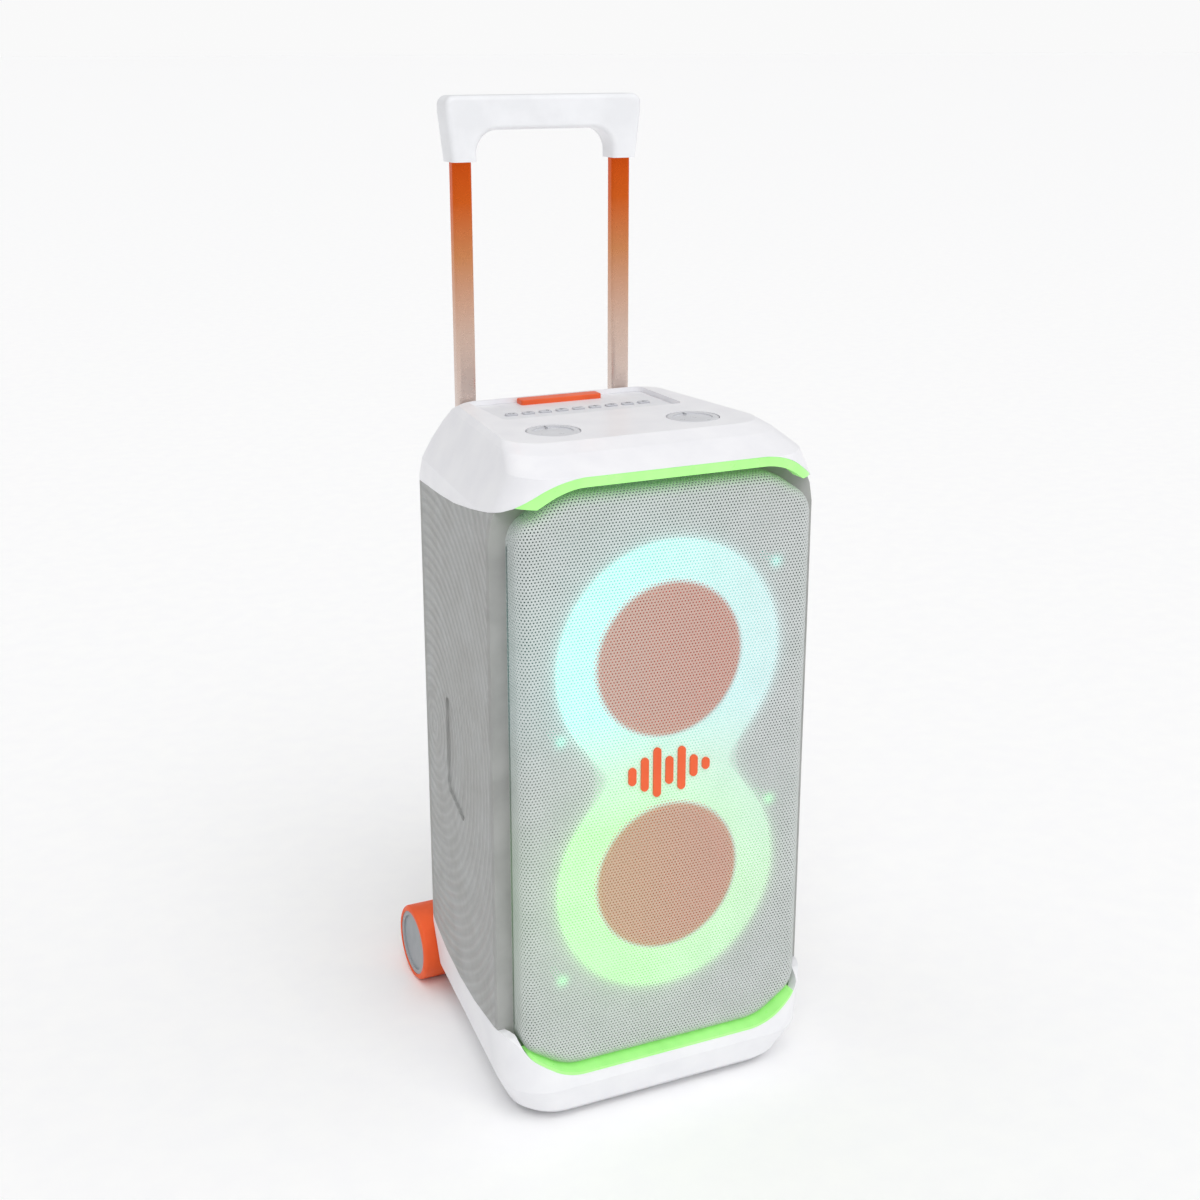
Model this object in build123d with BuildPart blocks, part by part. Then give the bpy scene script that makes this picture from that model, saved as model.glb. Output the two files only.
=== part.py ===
from build123d import *
import math
import os

# A party speaker on two wheels with a telescopic trolley handle, drawn out.
# Frame: +Z up, the grille faces -Y, the origin is under the middle of the whole object.

os.makedirs("parts", exist_ok=True)

# ---- Driving dimensions (mm) ----

# Body envelope: a trapezoid plan, wider in front, with sloping shoulders and a drawn-in foot
front_face = -192.2
rear_wall = 126.0
front_half_width = 172.5
rear_half_width = 135.0
front_radius = 45.0
rear_radius = 28.0
plateau_height = 669.0
underside = 6.0
shoulder_height = 592.0
foot_height = 88.0
skin = 5.5
fit_gap = 0.3

# Sections above the shoulder and below the foot line, each as
# (distance from the shoulder or foot line, side inset, front inset, rear inset, front radius)
shoulder_sections = [
    (0.0, 0.0, 0.0, 0.0, front_radius),
    (18.0, 3.0, 0.0, 2.0, front_radius),
    (38.0, 11.5, 0.0, 10.0, front_radius),
    (58.0, 21.0, 0.0, 23.0, front_radius),
    (71.0, 27.0, 38.0, 36.0, 38.0),
    (plateau_height - shoulder_height, 32.0, 62.0, 50.0, 34.0),
]
foot_sections = [
    (underside - foot_height, 24.0, 22.0, 102.0, 40.0),
    (-74.0, 17.0, 14.0, 54.0, 42.0),
    (-44.0, 3.0, 2.0, 14.0, 44.0),
    (0.0, 0.0, 0.0, 0.0, front_radius),
]

# Edges of the two caps along the body's sides, as (y, z) from the front corner to the rear wall
cap_edge = [(-172.0, 624.0), (-160.0, 619.0), (-138.0, 614.0), (-87.0, 605.0), (-33.0, 597.0),
            (20.0, 592.5), (60.0, 590.0), (rear_wall, 586.0)]
base_edge = [(-187.0, 85.0), (-182.0, 91.0), (-176.0, 96.0), (-168.0, 100.5), (-158.0, 102.5),
             (-146.0, 101.5), (-121.0, 97.0), (-68.0, 88.0), (-10.0, 83.0), (45.0, 84.5),
             (94.0, 93.0), (rear_wall, 105.0)]

# Grille tray
rim_plane = -152.0
grille_depth = 30.0
grille_half_width = 150.6
grille_top = 632.5
grille_bottom = 60.0
grille_corner_width = 43.6
grille_corner_height = 30.0
grille_roll = 12.0
grille_sheet = 1.5
rim_seat = 3.0

# Front frame and baffle
frame_thickness = 6.0
baffle_thickness = 12.0

# Cabinet
cabinet_wall = 9.0
cabinet_corner = 6.0
cabinet_top_gap = 4.0
cabinet_rear_gap = 42.0

# Woofers, the ring light around them and the small lights
woofer_heights = {"upper": 465.7, "lower": 245.3}
woofer_flange_radius = 76.0
woofer_flange_thickness = 4.0
woofer_cone_radius = 60.0
woofer_throat_radius = 18.0
woofer_cone_depth = 23.0
woofer_cone_wall = 1.6
woofer_magnet_radius = 42.0
woofer_magnet_height = 26.0
woofer_depth = 48.0
woofer_travel = 4.0
surround_width = 7.5
ring_outer_radius = 115.0
ring_inner_radius = 77.5
ring_neck_half_width = 75.0
diffuser_thickness = 3.0
diffuser_gap = 1.0
housing_wall = 2.0
led_board_thickness = 1.6
strobe_offset = 111.3
strobe_heights = [546.4, 402.9, 304.1, 158.0]
strobe_radius = 4.0
tweeter_offset = 101.0
tweeter_height = 592.0
tweeter_plate_radius = 19.0
tweeter_dome_radius = 12.5
strip_gap = 9.0
strip_height = 8.5
strip_depth = 8.0
lower_strip_gap = 0.8
lower_strip_height = 2.6
lower_strip_depth = 32.0

# Control panel
panel_half_width = 96.0
panel_front = -22.0
panel_rear = 74.0
panel_corner = 8.0
panel_recess = 5.0
panel_thickness = 3.0
panel_ledge = 4.0
seat_wall = 3.0
button_count = 9
button_pitch = 18.0
button_row = 18.0
button_length = 12.0
button_width = 8.0
button_stand = 1.6
button_travel = 1.2
button_clearance = 0.35
board_thickness = 1.6
dial_offset = 73.0
dial_row = -84.0
dial_radius = 25.0
dial_height = 9.0
dial_floor_gap = 0.8
dial_spindle_height = 4.0
dial_spindle_radius = 3.0
dial_spindle_clearance = 0.05
dial_clearance = 1.0
accent_length = 88.0
accent_depth = 15.0
accent_height = 5.0

# Telescopic handle
tube_offset = 85.7
tube_inset = 21.3
tube_width = 20.0
tube_depth = 14.0
tube_wall = 1.5
tube_slide_gap = 0.4
guide_wall = 1.6
handle_travel = 293.0
tube_overlap = 62.0
stow_gap = 5.0
grip_top = 961.0
grip_leg_bottom = 899.0
grip_half_width = 104.0
grip_leg_half_width = 98.5
grip_opening_top = 928.5
grip_opening_radius = 22.0
grip_leg_inner = 73.0
grip_depth = 30.0
grip_corner = 9.0
nest_ledge = 600.0
nest_gap = 3.0
release_length = 46.0
release_height = 14.0
release_depth = 7.0
release_clearance = 0.4
release_stand = 2.0

# Wheels
wheel_radius = 42.0
wheel_width = 40.0
wheel_outer_face = 147.5
wheel_standoff = 24.2
tyre_thickness = 6.0
hub_recess = 3.0
axle_radius = 5.0
axle_clearance = 0.05
wheel_side_gap = 3.0
wheel_well_gap = 5.0
carriage_height = 30.0

# Rear side
port_radius = 30.0
port_wall = 3.0
port_height = 500.0
port_length = 95.0
io_half_width = 60.0
io_half_height = 26.0
io_height = 205.0
io_recess = 4.0
io_thickness = 3.0
jack_offset = 34.0
jack_radius = 12.0
jack_bore = 5.0
jack_depth = 16.0
inlet_width = 27.0
inlet_height = 20.0
inlet_socket_width = 20.0
inlet_socket_height = 11.0
inlet_depth = 20.0
door_half_width = 70.0
door_half_height = 60.0
door_height = 330.0
door_thickness = 3.0
door_clearance = 0.5

# Feet
foot_offset = 95.0
foot_row = -120.0
foot_length = 60.0
foot_width = 22.0
foot_sink = 2.0

# ---- Shared outlines and places ----

cabinet_rear = rear_wall - cabinet_rear_gap
tube_row = rear_wall - tube_inset
wheel_row = rear_wall + wheel_standoff
hub_radius = wheel_radius - tyre_thickness
side_slope = (rear_half_width - front_half_width) / (rear_wall - front_face)
far = 400.0
grille_face = rim_plane - grille_depth
sheet_back = grille_face + grille_sheet
baffle_back = rim_plane + frame_thickness
baffle_front = baffle_back - baffle_thickness
panel_floor = plateau_height - panel_recess - panel_thickness
panel_top = plateau_height - panel_recess
cabinet_bottom = foot_height + skin + 2 * fit_gap
cabinet_top = shoulder_height - cabinet_top_gap
panel_seat = panel_floor - seat_wall
dial_floor = plateau_height - dial_height - dial_floor_gap


def half_width(y):
    """Half of the body's straight-sided width at a depth y."""
    return front_half_width + (y - front_face) * side_slope


def plan_section(inset, front, rear, corner_front, corner_rear):
    """Horizontal section of the body: a trapezoid with rounded corners, its sides drawn in by inset."""
    wide = half_width(front) - inset
    narrow = half_width(rear) - inset
    with BuildSketch(mode=Mode.PRIVATE) as section:
        Polygon((-wide, front), (wide, front), (narrow, rear), (-narrow, rear), align=None)
        fillet(section.vertices().group_by(Axis.Y)[0], corner_front)
        fillet(section.vertices().group_by(Axis.Y)[-1], corner_rear)
    return section.sketch


def envelope(inset=0.0):
    """Solid inside the body's outer surface, drawn in by inset on every side."""
    with BuildPart(mode=Mode.PRIVATE) as body:
        for rise, side, front, rear, corner in foot_sections:
            lift = inset if rise < 0 else 0.0
            with BuildSketch(Plane.XY.offset(foot_height + rise + lift)):
                add(plan_section(side + inset, front_face + front + inset, rear_wall - rear - inset,
                                 corner, rear_radius))
        loft(ruled=True)
        with BuildSketch(Plane.XY.offset(foot_height)):
            add(plan_section(inset, front_face + inset, rear_wall - inset, front_radius, rear_radius))
        extrude(amount=shoulder_height - foot_height)
        for rise, side, front, rear, corner in shoulder_sections:
            drop = inset if rise > 0 else 0.0
            with BuildSketch(Plane.XY.offset(shoulder_height + rise - drop)):
                add(plan_section(side + inset, front_face + front + inset, rear_wall - rear - inset,
                                 corner, rear_radius))
        loft(ruled=True)
    return body.part


def grille_outline(grow=0.0):
    """Front outline of the grille, with long soft corners, grown outward by grow."""
    with BuildSketch(mode=Mode.PRIVATE) as outline:
        right = [
            (grille_half_width - grille_corner_width, grille_bottom),
            (grille_half_width, grille_bottom + grille_corner_height),
            (grille_half_width, grille_top - grille_corner_height),
            (grille_half_width - grille_corner_width, grille_top),
        ]
        left = [(-x, z) for x, z in reversed(right)]
        Polygon(*right, *left, align=None)
        shallow = outline.vertices().group_by(Axis.X)
        fillet(shallow[0] + shallow[-1], 28.0)
        ends = outline.vertices().filter_by(
            lambda v: abs(abs(v.X) - (grille_half_width - grille_corner_width)) < 0.01)
        fillet(ends, 55.0)
        if grow:
            offset(amount=grow)
    return outline.sketch


def ring_outline(shrink=0.0):
    """Figure-of-eight around both woofers with their two holes, drawn in by shrink on every edge."""
    middle = sum(woofer_heights.values()) / 2
    half_span = (woofer_heights["upper"] - woofer_heights["lower"]) / 2
    outer = ring_outer_radius - shrink
    neck = ring_neck_half_width - shrink
    bend = (half_span ** 2 + neck ** 2 - outer ** 2) / (2 * (outer - neck))
    bend_x = neck + bend
    meet_x = outer * bend_x / (outer + bend)
    meet_z = half_span * bend / (outer + bend)
    with BuildSketch(mode=Mode.PRIVATE) as ring:
        with Locations(*[(0, height) for height in woofer_heights.values()]):
            Circle(outer)
        with Locations((0, middle)):
            Rectangle(2 * meet_x, 2 * meet_z)
        with Locations((-bend_x, middle), (bend_x, middle)):
            Circle(bend, mode=Mode.SUBTRACT)
        with Locations(*[(0, height) for height in woofer_heights.values()]):
            Circle(ring_inner_radius + shrink, mode=Mode.SUBTRACT)
    return ring.sketch


def side_region(edge, above, gap=0.0):
    """Everything above or below one cap's edge line, through the whole width."""
    limit = far * 3 if above else -far
    first_z = edge[0][1]
    last_z = edge[-1][1]
    shift = gap if above else -gap
    line = [(-far, first_z + shift)] + [(y, z + shift) for y, z in edge] + [(far, last_z + shift)]
    with BuildPart(mode=Mode.PRIVATE) as region:
        with BuildSketch(Plane.YZ.offset(-far)):
            Polygon(*line, (far, limit), (-far, limit), align=None)
        extrude(amount=2 * far)
    return region.part


def front_region(grow):
    """The space in front of the rim plane's frame, inside the grille's outline grown by grow."""
    with BuildPart(mode=Mode.PRIVATE) as region:
        with BuildSketch(Plane.XZ.offset(-baffle_back)):
            add(grille_outline(grow))
        extrude(amount=far)
    return region.part


def slab(front, back):
    """A plate across the whole body between two depths."""
    with BuildPart(mode=Mode.PRIVATE) as plate:
        with BuildSketch(Plane.XZ.offset(-back)):
            with Locations((0, plateau_height / 2)):
                Rectangle(2 * far, 3 * far)
        extrude(amount=back - front)
    return plate.part


body_solid = envelope()
skin_void = envelope(skin + fit_gap)
above_cap_edge = side_region(cap_edge, True)
below_cap_edge = side_region(cap_edge, False)
above_base_edge = side_region(base_edge, True)
below_base_edge = side_region(base_edge, False)

nest_half_width = grip_half_width + nest_gap
nest_front = tube_row - grip_depth / 2 - nest_gap

# ---- Top cap, base cap and the panels between them ----

with BuildPart() as nest_block:
    with BuildSketch(Plane.XY.offset(nest_ledge - skin)):
        with Locations((0, nest_front - skin + far / 2)):
            Rectangle(2 * (nest_half_width + skin), far)
    extrude(amount=far)

with BuildPart() as top_cap:
    add(body_solid)
    add(below_cap_edge, mode=Mode.SUBTRACT)
    add(front_region(strip_gap + strip_height + fit_gap), mode=Mode.SUBTRACT)
    with BuildPart(mode=Mode.SUBTRACT):
        add(skin_void)
        add(nest_block.part, mode=Mode.SUBTRACT)
    with BuildSketch(Plane.XY.offset(nest_ledge)):
        with Locations((0, nest_front + far / 2)):
            Rectangle(2 * nest_half_width, far)
    extrude(amount=far, mode=Mode.SUBTRACT)
    with BuildSketch(Plane.XY.offset(panel_seat)):
        with Locations((0, (panel_front + panel_rear) / 2)):
            RectangleRounded(2 * (panel_half_width + seat_wall), panel_rear - panel_front + 2 * seat_wall,
                             panel_corner)
    extrude(amount=plateau_height - panel_seat - seat_wall)
    with BuildSketch(Plane.XY.offset(dial_floor - seat_wall)):
        with Locations((-dial_offset, dial_row), (dial_offset, dial_row)):
            Circle(dial_radius + dial_clearance + seat_wall)
    extrude(amount=plateau_height - dial_floor)
    with BuildSketch(Plane.XY.offset(panel_floor)):
        with Locations((0, (panel_front + panel_rear) / 2)):
            RectangleRounded(2 * panel_half_width, panel_rear - panel_front, panel_corner)
    extrude(amount=far, mode=Mode.SUBTRACT)
    with BuildSketch(Plane.XY.offset(panel_seat - 1)):
        with Locations((0, button_row)):
            Rectangle(button_pitch * button_count, button_width + 2 * panel_ledge)
    extrude(amount=far, mode=Mode.SUBTRACT)
    with BuildSketch(Plane.XY.offset(dial_floor)):
        with Locations((-dial_offset, dial_row), (dial_offset, dial_row)):
            Circle(dial_radius + dial_clearance)
    extrude(amount=far, mode=Mode.SUBTRACT)
    with BuildSketch(Plane.XY.offset(dial_floor)):
        with Locations((-dial_offset, dial_row), (dial_offset, dial_row)):
            Circle(dial_spindle_radius)
    extrude(amount=dial_floor_gap + dial_spindle_height)
    with BuildSketch(Plane.XY.offset(nest_ledge - 2 * skin)):
        with Locations((-tube_offset, tube_row), (tube_offset, tube_row)):
            Rectangle(tube_width + 2 * (tube_slide_gap + guide_wall),
                      tube_depth + 2 * (tube_slide_gap + guide_wall))
    extrude(amount=3 * skin, mode=Mode.SUBTRACT)
top_cap.part.label = "top_cap"
export_step(top_cap.part, "parts/top_cap.step")

with BuildPart() as wheel_room:
    with BuildSketch(Plane.YZ.offset(wheel_outer_face - wheel_width - wheel_side_gap)):
        with Locations((wheel_row, wheel_radius)):
            Circle(wheel_radius + wheel_well_gap)
    extrude(amount=far)
    mirror(about=Plane.YZ)

carriage_half_width = wheel_outer_face - wheel_width - wheel_side_gap
with BuildPart() as wheel_carriage:
    with BuildSketch(Plane.YZ.offset(-carriage_half_width)):
        with Locations((wheel_row, wheel_radius)):
            Circle(carriage_height / 2)
        with Locations(((wheel_row + cabinet_rear) / 2, wheel_radius)):
            Rectangle(wheel_row - cabinet_rear, carriage_height)
        with Locations((wheel_row, wheel_radius)):
            Circle(axle_radius, mode=Mode.SUBTRACT)
    extrude(amount=2 * carriage_half_width)
wheel_carriage.part.label = "wheel_carriage"
export_step(wheel_carriage.part, "parts/wheel_carriage.step")

with BuildPart() as base_cap:
    add(body_solid)
    add(above_base_edge, mode=Mode.SUBTRACT)
    add(front_region(lower_strip_gap + lower_strip_height + fit_gap), mode=Mode.SUBTRACT)
    add(skin_void, mode=Mode.SUBTRACT)
    add(wheel_room.part, mode=Mode.SUBTRACT)
    with BuildSketch(Plane.YZ.offset(-carriage_half_width)):
        with Locations((wheel_row, wheel_radius)):
            Rectangle(far / 2, carriage_height)
    extrude(amount=2 * carriage_half_width, mode=Mode.SUBTRACT)
    with BuildSketch(Plane.XY.offset(underside)):
        with Locations((-foot_offset, foot_row), (foot_offset, foot_row)):
            SlotOverall(foot_length, foot_width)
    extrude(amount=foot_sink, mode=Mode.SUBTRACT)
base_cap.part.label = "base_cap"
export_step(base_cap.part, "parts/base_cap.step")

with BuildPart() as feet:
    with BuildSketch(Plane.XY):
        with Locations((-foot_offset, foot_row), (foot_offset, foot_row)):
            SlotOverall(foot_length, foot_width)
    extrude(amount=underside + foot_sink)
    fillet(feet.edges().group_by(Axis.Z)[0], 2.0)
feet.part.label = "feet"
export_step(feet.part, "parts/feet.step")

# The middle shell runs between the two caps, and is cut at the frame and at the rear corners
panel_end = rear_wall - rear_radius - 2.0
with BuildPart() as middle_shell:
    add(body_solid)
    add(envelope(skin), mode=Mode.SUBTRACT)
    add(side_region(cap_edge, True, -fit_gap), mode=Mode.SUBTRACT)
    add(side_region(base_edge, False, -fit_gap), mode=Mode.SUBTRACT)

pocket_middle = (-14.0, 330.0)
pocket_points = [(-33.0, -58.0), (-33.0, 45.0), (33.0, 58.0), (33.0, -45.0)]
pocket_corner = 8.0
pocket_depth = 2.5
for side, sign in (("left", -1), ("right", 1)):
    with BuildPart() as side_panel:
        add(middle_shell.part)
        add(slab(baffle_back + fit_gap, panel_end), mode=Mode.INTERSECT)
        with BuildSketch(Plane.YZ):
            with Locations(((baffle_back + panel_end) / 2, plateau_height / 2)):
                Rectangle(far, 2 * far)
        extrude(amount=sign * far, mode=Mode.INTERSECT)
        pocket_plane = Plane(
            origin=(sign * half_width(pocket_middle[0]), *pocket_middle),
            x_dir=(sign * side_slope, 1.0, 0.0),
            z_dir=(sign, -side_slope, 0.0))
        with BuildSketch(pocket_plane.offset(-pocket_depth)) as pocket:
            Polygon(*[(y, sign * z) for y, z in pocket_points], align=None)
            fillet(pocket.vertices(), pocket_corner)
        extrude(amount=far, mode=Mode.SUBTRACT)
    side_panel.part.label = f"side_panel_{side}"
    export_step(side_panel.part, f"parts/side_panel_{side}.step")

inlet_place = (io_half_width - inlet_width, io_height)
with BuildPart() as rear_panel:
    add(middle_shell.part)
    add(slab(panel_end + fit_gap, far), mode=Mode.INTERSECT)
    with BuildSketch(Plane.XZ.offset(-far)):
        with Locations((0, port_height)):
            Circle(port_radius + port_wall)
        with Locations((0, io_height)):
            RectangleRounded(2 * io_half_width, 2 * io_half_height, 4.0)
        with Locations((0, door_height)):
            RectangleRounded(2 * (door_half_width + door_clearance), 2 * (door_half_height + door_clearance), 6.0)
    extrude(amount=far - rear_wall + 2 * skin, mode=Mode.SUBTRACT)
rear_panel.part.label = "rear_panel"
export_step(rear_panel.part, "parts/rear_panel.step")

# ---- Front frame, baffle, cabinet ----

with BuildPart() as front_frame:
    add(envelope(skin + 2 * fit_gap))
    add(slab(rim_plane, baffle_back), mode=Mode.INTERSECT)
    with BuildPart():
        add(body_solid)
        add(slab(rim_plane, baffle_back), mode=Mode.INTERSECT)
        add(side_region(cap_edge, True, -fit_gap), mode=Mode.SUBTRACT)
        add(side_region(base_edge, False, -fit_gap), mode=Mode.SUBTRACT)
    with BuildSketch(Plane.XZ.offset(-baffle_back - 1)):
        add(grille_outline(-rim_seat))
    extrude(amount=2 * baffle_thickness, mode=Mode.SUBTRACT)
front_frame.part.label = "front_frame"
export_step(front_frame.part, "parts/front_frame.step")

tweeter_places = [(-tweeter_offset, tweeter_height), (tweeter_offset, tweeter_height)]
with BuildPart() as baffle:
    with BuildSketch(Plane.XZ.offset(-baffle_back)):
        add(grille_outline(-rim_seat - fit_gap))
        with Locations(*[(0, height) for height in woofer_heights.values()]):
            Circle(woofer_cone_radius + surround_width, mode=Mode.SUBTRACT)
        with Locations(*tweeter_places):
            Circle(tweeter_dome_radius + 2, mode=Mode.SUBTRACT)
    extrude(amount=baffle_thickness)
baffle.part.label = "baffle"
export_step(baffle.part, "parts/baffle.step")

with BuildPart() as cabinet:
    with BuildSketch(Plane.XY.offset(cabinet_bottom)):
        add(plan_section(skin + 2 * fit_gap, baffle_back, cabinet_rear, cabinet_corner, cabinet_corner))
    extrude(amount=cabinet_top - cabinet_bottom)
    with BuildSketch(Plane.XY.offset(cabinet_bottom + cabinet_wall)):
        add(plan_section(skin + 2 * fit_gap + cabinet_wall, baffle_back - cabinet_wall,
                         cabinet_rear - cabinet_wall, 1.0, 1.0))
    extrude(amount=cabinet_top - cabinet_bottom - 2 * cabinet_wall, mode=Mode.SUBTRACT)
    with BuildSketch(Plane.XZ.offset(-far)):
        with Locations((0, port_height)):
            Circle(port_radius + port_wall)
    extrude(amount=far, mode=Mode.SUBTRACT)
cabinet.part.label = "cabinet"
export_step(cabinet.part, "parts/cabinet.step")

# ---- Grille, light strips, ring light, small lights ----

with BuildPart() as front_grille:
    with BuildSketch(Plane.XZ.offset(-rim_plane)):
        add(grille_outline())
    extrude(amount=grille_depth)
    fillet(front_grille.faces().sort_by(Axis.Y)[0].edges(), grille_roll)
    with BuildPart(mode=Mode.SUBTRACT) as grille_void:
        with BuildSketch(Plane.XZ.offset(-rim_plane)):
            add(grille_outline(-grille_sheet))
        extrude(amount=grille_depth - grille_sheet)
        fillet(grille_void.faces().sort_by(Axis.Y)[0].edges(), grille_roll - grille_sheet)
front_grille.part.label = "front_grille"
export_step(front_grille.part, "parts/front_grille.step")

strips = {
    "light_strip_top": (strip_gap, strip_height, envelope(strip_depth), 1),
    "light_strip_bottom": (lower_strip_gap, lower_strip_height, slab(front_face + lower_strip_depth, far), -1),
}
strip_limits = {1: grille_top - 8.0, -1: grille_bottom + 24.0}
for name, (gap, height, behind, sign) in strips.items():
    with BuildPart() as light_strip:
        with BuildSketch(Plane.XZ.offset(-rim_plane)):
            add(grille_outline(gap + height))
            add(grille_outline(gap), mode=Mode.SUBTRACT)
            with Locations((0, strip_limits[sign] - sign * far)):
                Rectangle(3 * far, 2 * far, mode=Mode.SUBTRACT)
        extrude(amount=far)
        add(body_solid, mode=Mode.INTERSECT)
        add(behind, mode=Mode.SUBTRACT)
    light_strip.part.label = name
    export_step(light_strip.part, f"parts/{name}.step")

diffuser_front = sheet_back + diffuser_gap
diffuser_back = diffuser_front + diffuser_thickness
with BuildPart() as ring_diffuser:
    with BuildSketch(Plane.XZ.offset(-diffuser_back)):
        add(ring_outline())
    extrude(amount=diffuser_thickness)
ring_diffuser.part.label = "ring_diffuser"
export_step(ring_diffuser.part, "parts/ring_diffuser.step")

with BuildPart() as ring_housing:
    with BuildSketch(Plane.XZ.offset(-baffle_front)):
        add(ring_outline())
    extrude(amount=baffle_front - diffuser_back)
    with BuildSketch(Plane.XZ.offset(-baffle_front + housing_wall)):
        add(ring_outline(housing_wall))
    extrude(amount=baffle_front - diffuser_back - housing_wall, mode=Mode.SUBTRACT)
ring_housing.part.label = "ring_housing"
export_step(ring_housing.part, "parts/ring_housing.step")

with BuildPart() as led_board:
    with BuildSketch(Plane.XZ.offset(-baffle_front + housing_wall)):
        add(ring_outline(housing_wall + 2 * fit_gap))
    extrude(amount=led_board_thickness)
led_board.part.label = "led_board"
export_step(led_board.part, "parts/led_board.step")

strobe_places = [(sign * strobe_offset, height) for sign in (-1, 1) for height in strobe_heights]
with BuildPart() as strobe_light_pipes:
    with BuildSketch(Plane.XZ.offset(-baffle_front)):
        with Locations(*strobe_places):
            Circle(strobe_radius)
    extrude(amount=baffle_front - diffuser_front)
strobe_light_pipes.part.label = "strobe_light_pipes"
export_step(strobe_light_pipes.part, "parts/strobe_light_pipes.step")

bar_heights = [18.0, 34.0, 50.0, 28.0, 44.0, 22.0, 12.0]
bar_pitch = 13.0
bar_width = 8.0
badge_thickness = 2.0
badge_height = sum(woofer_heights.values()) / 2
with BuildPart() as badge:
    with BuildSketch(Plane.XZ.offset(-grille_face)):
        for index, height in enumerate(bar_heights):
            with Locations(((index - (len(bar_heights) - 1) / 2) * bar_pitch, badge_height)):
                SlotOverall(height, bar_width, rotation=90)
    extrude(amount=badge_thickness)
badge.part.label = "badge"
export_step(badge.part, "parts/badge.step")

# ---- Woofers and tweeters ----

cone_front = baffle_front - woofer_flange_thickness - 2.0
for level, height in woofer_heights.items():
    with BuildPart() as woofer_basket:
        inner = woofer_cone_radius + surround_width
        profile = [
            (inner, baffle_front - woofer_flange_thickness),
            (woofer_flange_radius, baffle_front - woofer_flange_thickness),
            (woofer_flange_radius, baffle_front),
            (inner - fit_gap, baffle_front),
            (woofer_magnet_radius, baffle_front + woofer_depth),
            (woofer_throat_radius, baffle_front + woofer_depth),
            (woofer_throat_radius, baffle_front + woofer_depth - 3.0),
            (woofer_magnet_radius - 3.0, baffle_front + woofer_depth - 3.0),
            (inner - fit_gap - 3.0, baffle_front),
        ]
        with BuildSketch(Plane.XY.offset(height)):
            Polygon(*profile, align=None)
        revolve(axis=Axis((0, 0, height), (0, 1, 0)))
    woofer_basket.part.label = f"woofer_basket_{level}"
    export_step(woofer_basket.part, f"parts/woofer_basket_{level}.step")

    with BuildPart() as woofer_magnet:
        with BuildSketch(Plane.XZ.offset(-baffle_front - woofer_depth)):
            with Locations((0, height)):
                Circle(woofer_magnet_radius)
        extrude(amount=-woofer_magnet_height)
        chamfer(woofer_magnet.edges().group_by(Axis.Y)[-1], 2.0)
    woofer_magnet.part.label = f"woofer_magnet_{level}"
    export_step(woofer_magnet.part, f"parts/woofer_magnet_{level}.step")

    with BuildPart() as woofer_cone:
        back = cone_front + woofer_cone_depth
        crown = cone_front + woofer_cone_depth / 2
        with BuildSketch(Plane.XY.offset(height)):
            with BuildLine():
                Polyline((0, crown + woofer_cone_wall), (0, crown))
                ThreePointArc((0, crown), (woofer_throat_radius * 0.6, crown + 2.0),
                              (woofer_throat_radius, crown + 6.0))
                Polyline((woofer_throat_radius, crown + 6.0), (woofer_cone_radius, cone_front),
                         (woofer_cone_radius, cone_front + woofer_cone_wall),
                         (woofer_throat_radius, back), (woofer_throat_radius - 2.0, back),
                         (woofer_throat_radius - 2.0, crown + 8.0), (0, crown + woofer_cone_wall))
            make_face()
        revolve(axis=Axis((0, 0, height), (0, 1, 0)))
    woofer_cone.part.label = f"woofer_cone_{level}"
    export_step(woofer_cone.part, f"parts/woofer_cone_{level}.step")

    with BuildPart() as woofer_surround:
        roll = (surround_width - 2 * fit_gap) / 2
        middle_radius = woofer_cone_radius + fit_gap + roll
        with BuildSketch(Plane.XY.offset(height)):
            with Locations((middle_radius, baffle_front - woofer_flange_thickness)):
                Circle(roll)
                Circle(roll - 1.0, mode=Mode.SUBTRACT)
            with Locations((middle_radius, baffle_front - woofer_flange_thickness + 2 * roll)):
                Rectangle(4 * roll, 4 * roll, mode=Mode.SUBTRACT)
        revolve(axis=Axis((0, 0, height), (0, 1, 0)))
    woofer_surround.part.label = f"woofer_surround_{level}"
    export_step(woofer_surround.part, f"parts/woofer_surround_{level}.step")

for side, place in (("left", tweeter_places[0]), ("right", tweeter_places[1])):
    with BuildPart() as tweeter:
        with BuildSketch(Plane.XZ.offset(-baffle_front)):
            with Locations(place):
                Circle(tweeter_plate_radius)
        extrude(amount=3.0)
        with BuildSketch(Plane.XZ.offset(-baffle_front)):
            with Locations(place):
                Circle(tweeter_dome_radius + 1.5)
        extrude(amount=-baffle_thickness)
        with BuildSketch(Plane.XY.offset(place[1])):
            with Locations((place[0], baffle_front - 3.0)):
                Circle(tweeter_dome_radius)
                with Locations((-tweeter_dome_radius, 0)):
                    Rectangle(2 * tweeter_dome_radius, 4 * tweeter_dome_radius, mode=Mode.SUBTRACT)
        revolve(axis=Axis((place[0], 0, place[1]), (0, 1, 0)))
    tweeter.part.label = f"tweeter_{side}"
    export_step(tweeter.part, f"parts/tweeter_{side}.step")

# ---- Controls on the plateau ----

button_places = [((index - (button_count - 1) / 2) * button_pitch, button_row) for index in range(button_count)]
with BuildPart() as control_panel:
    with BuildSketch(Plane.XY.offset(panel_floor)):
        with Locations((0, (panel_front + panel_rear) / 2)):
            RectangleRounded(2 * (panel_half_width - fit_gap), panel_rear - panel_front - 2 * fit_gap,
                             panel_corner - fit_gap)
        with Locations(*button_places):
            RectangleRounded(button_length + 2 * button_clearance, button_width + 2 * button_clearance,
                             2.0 + button_clearance, mode=Mode.SUBTRACT)
    extrude(amount=panel_thickness)
control_panel.part.label = "control_panel"
export_step(control_panel.part, "parts/control_panel.step")

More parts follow.
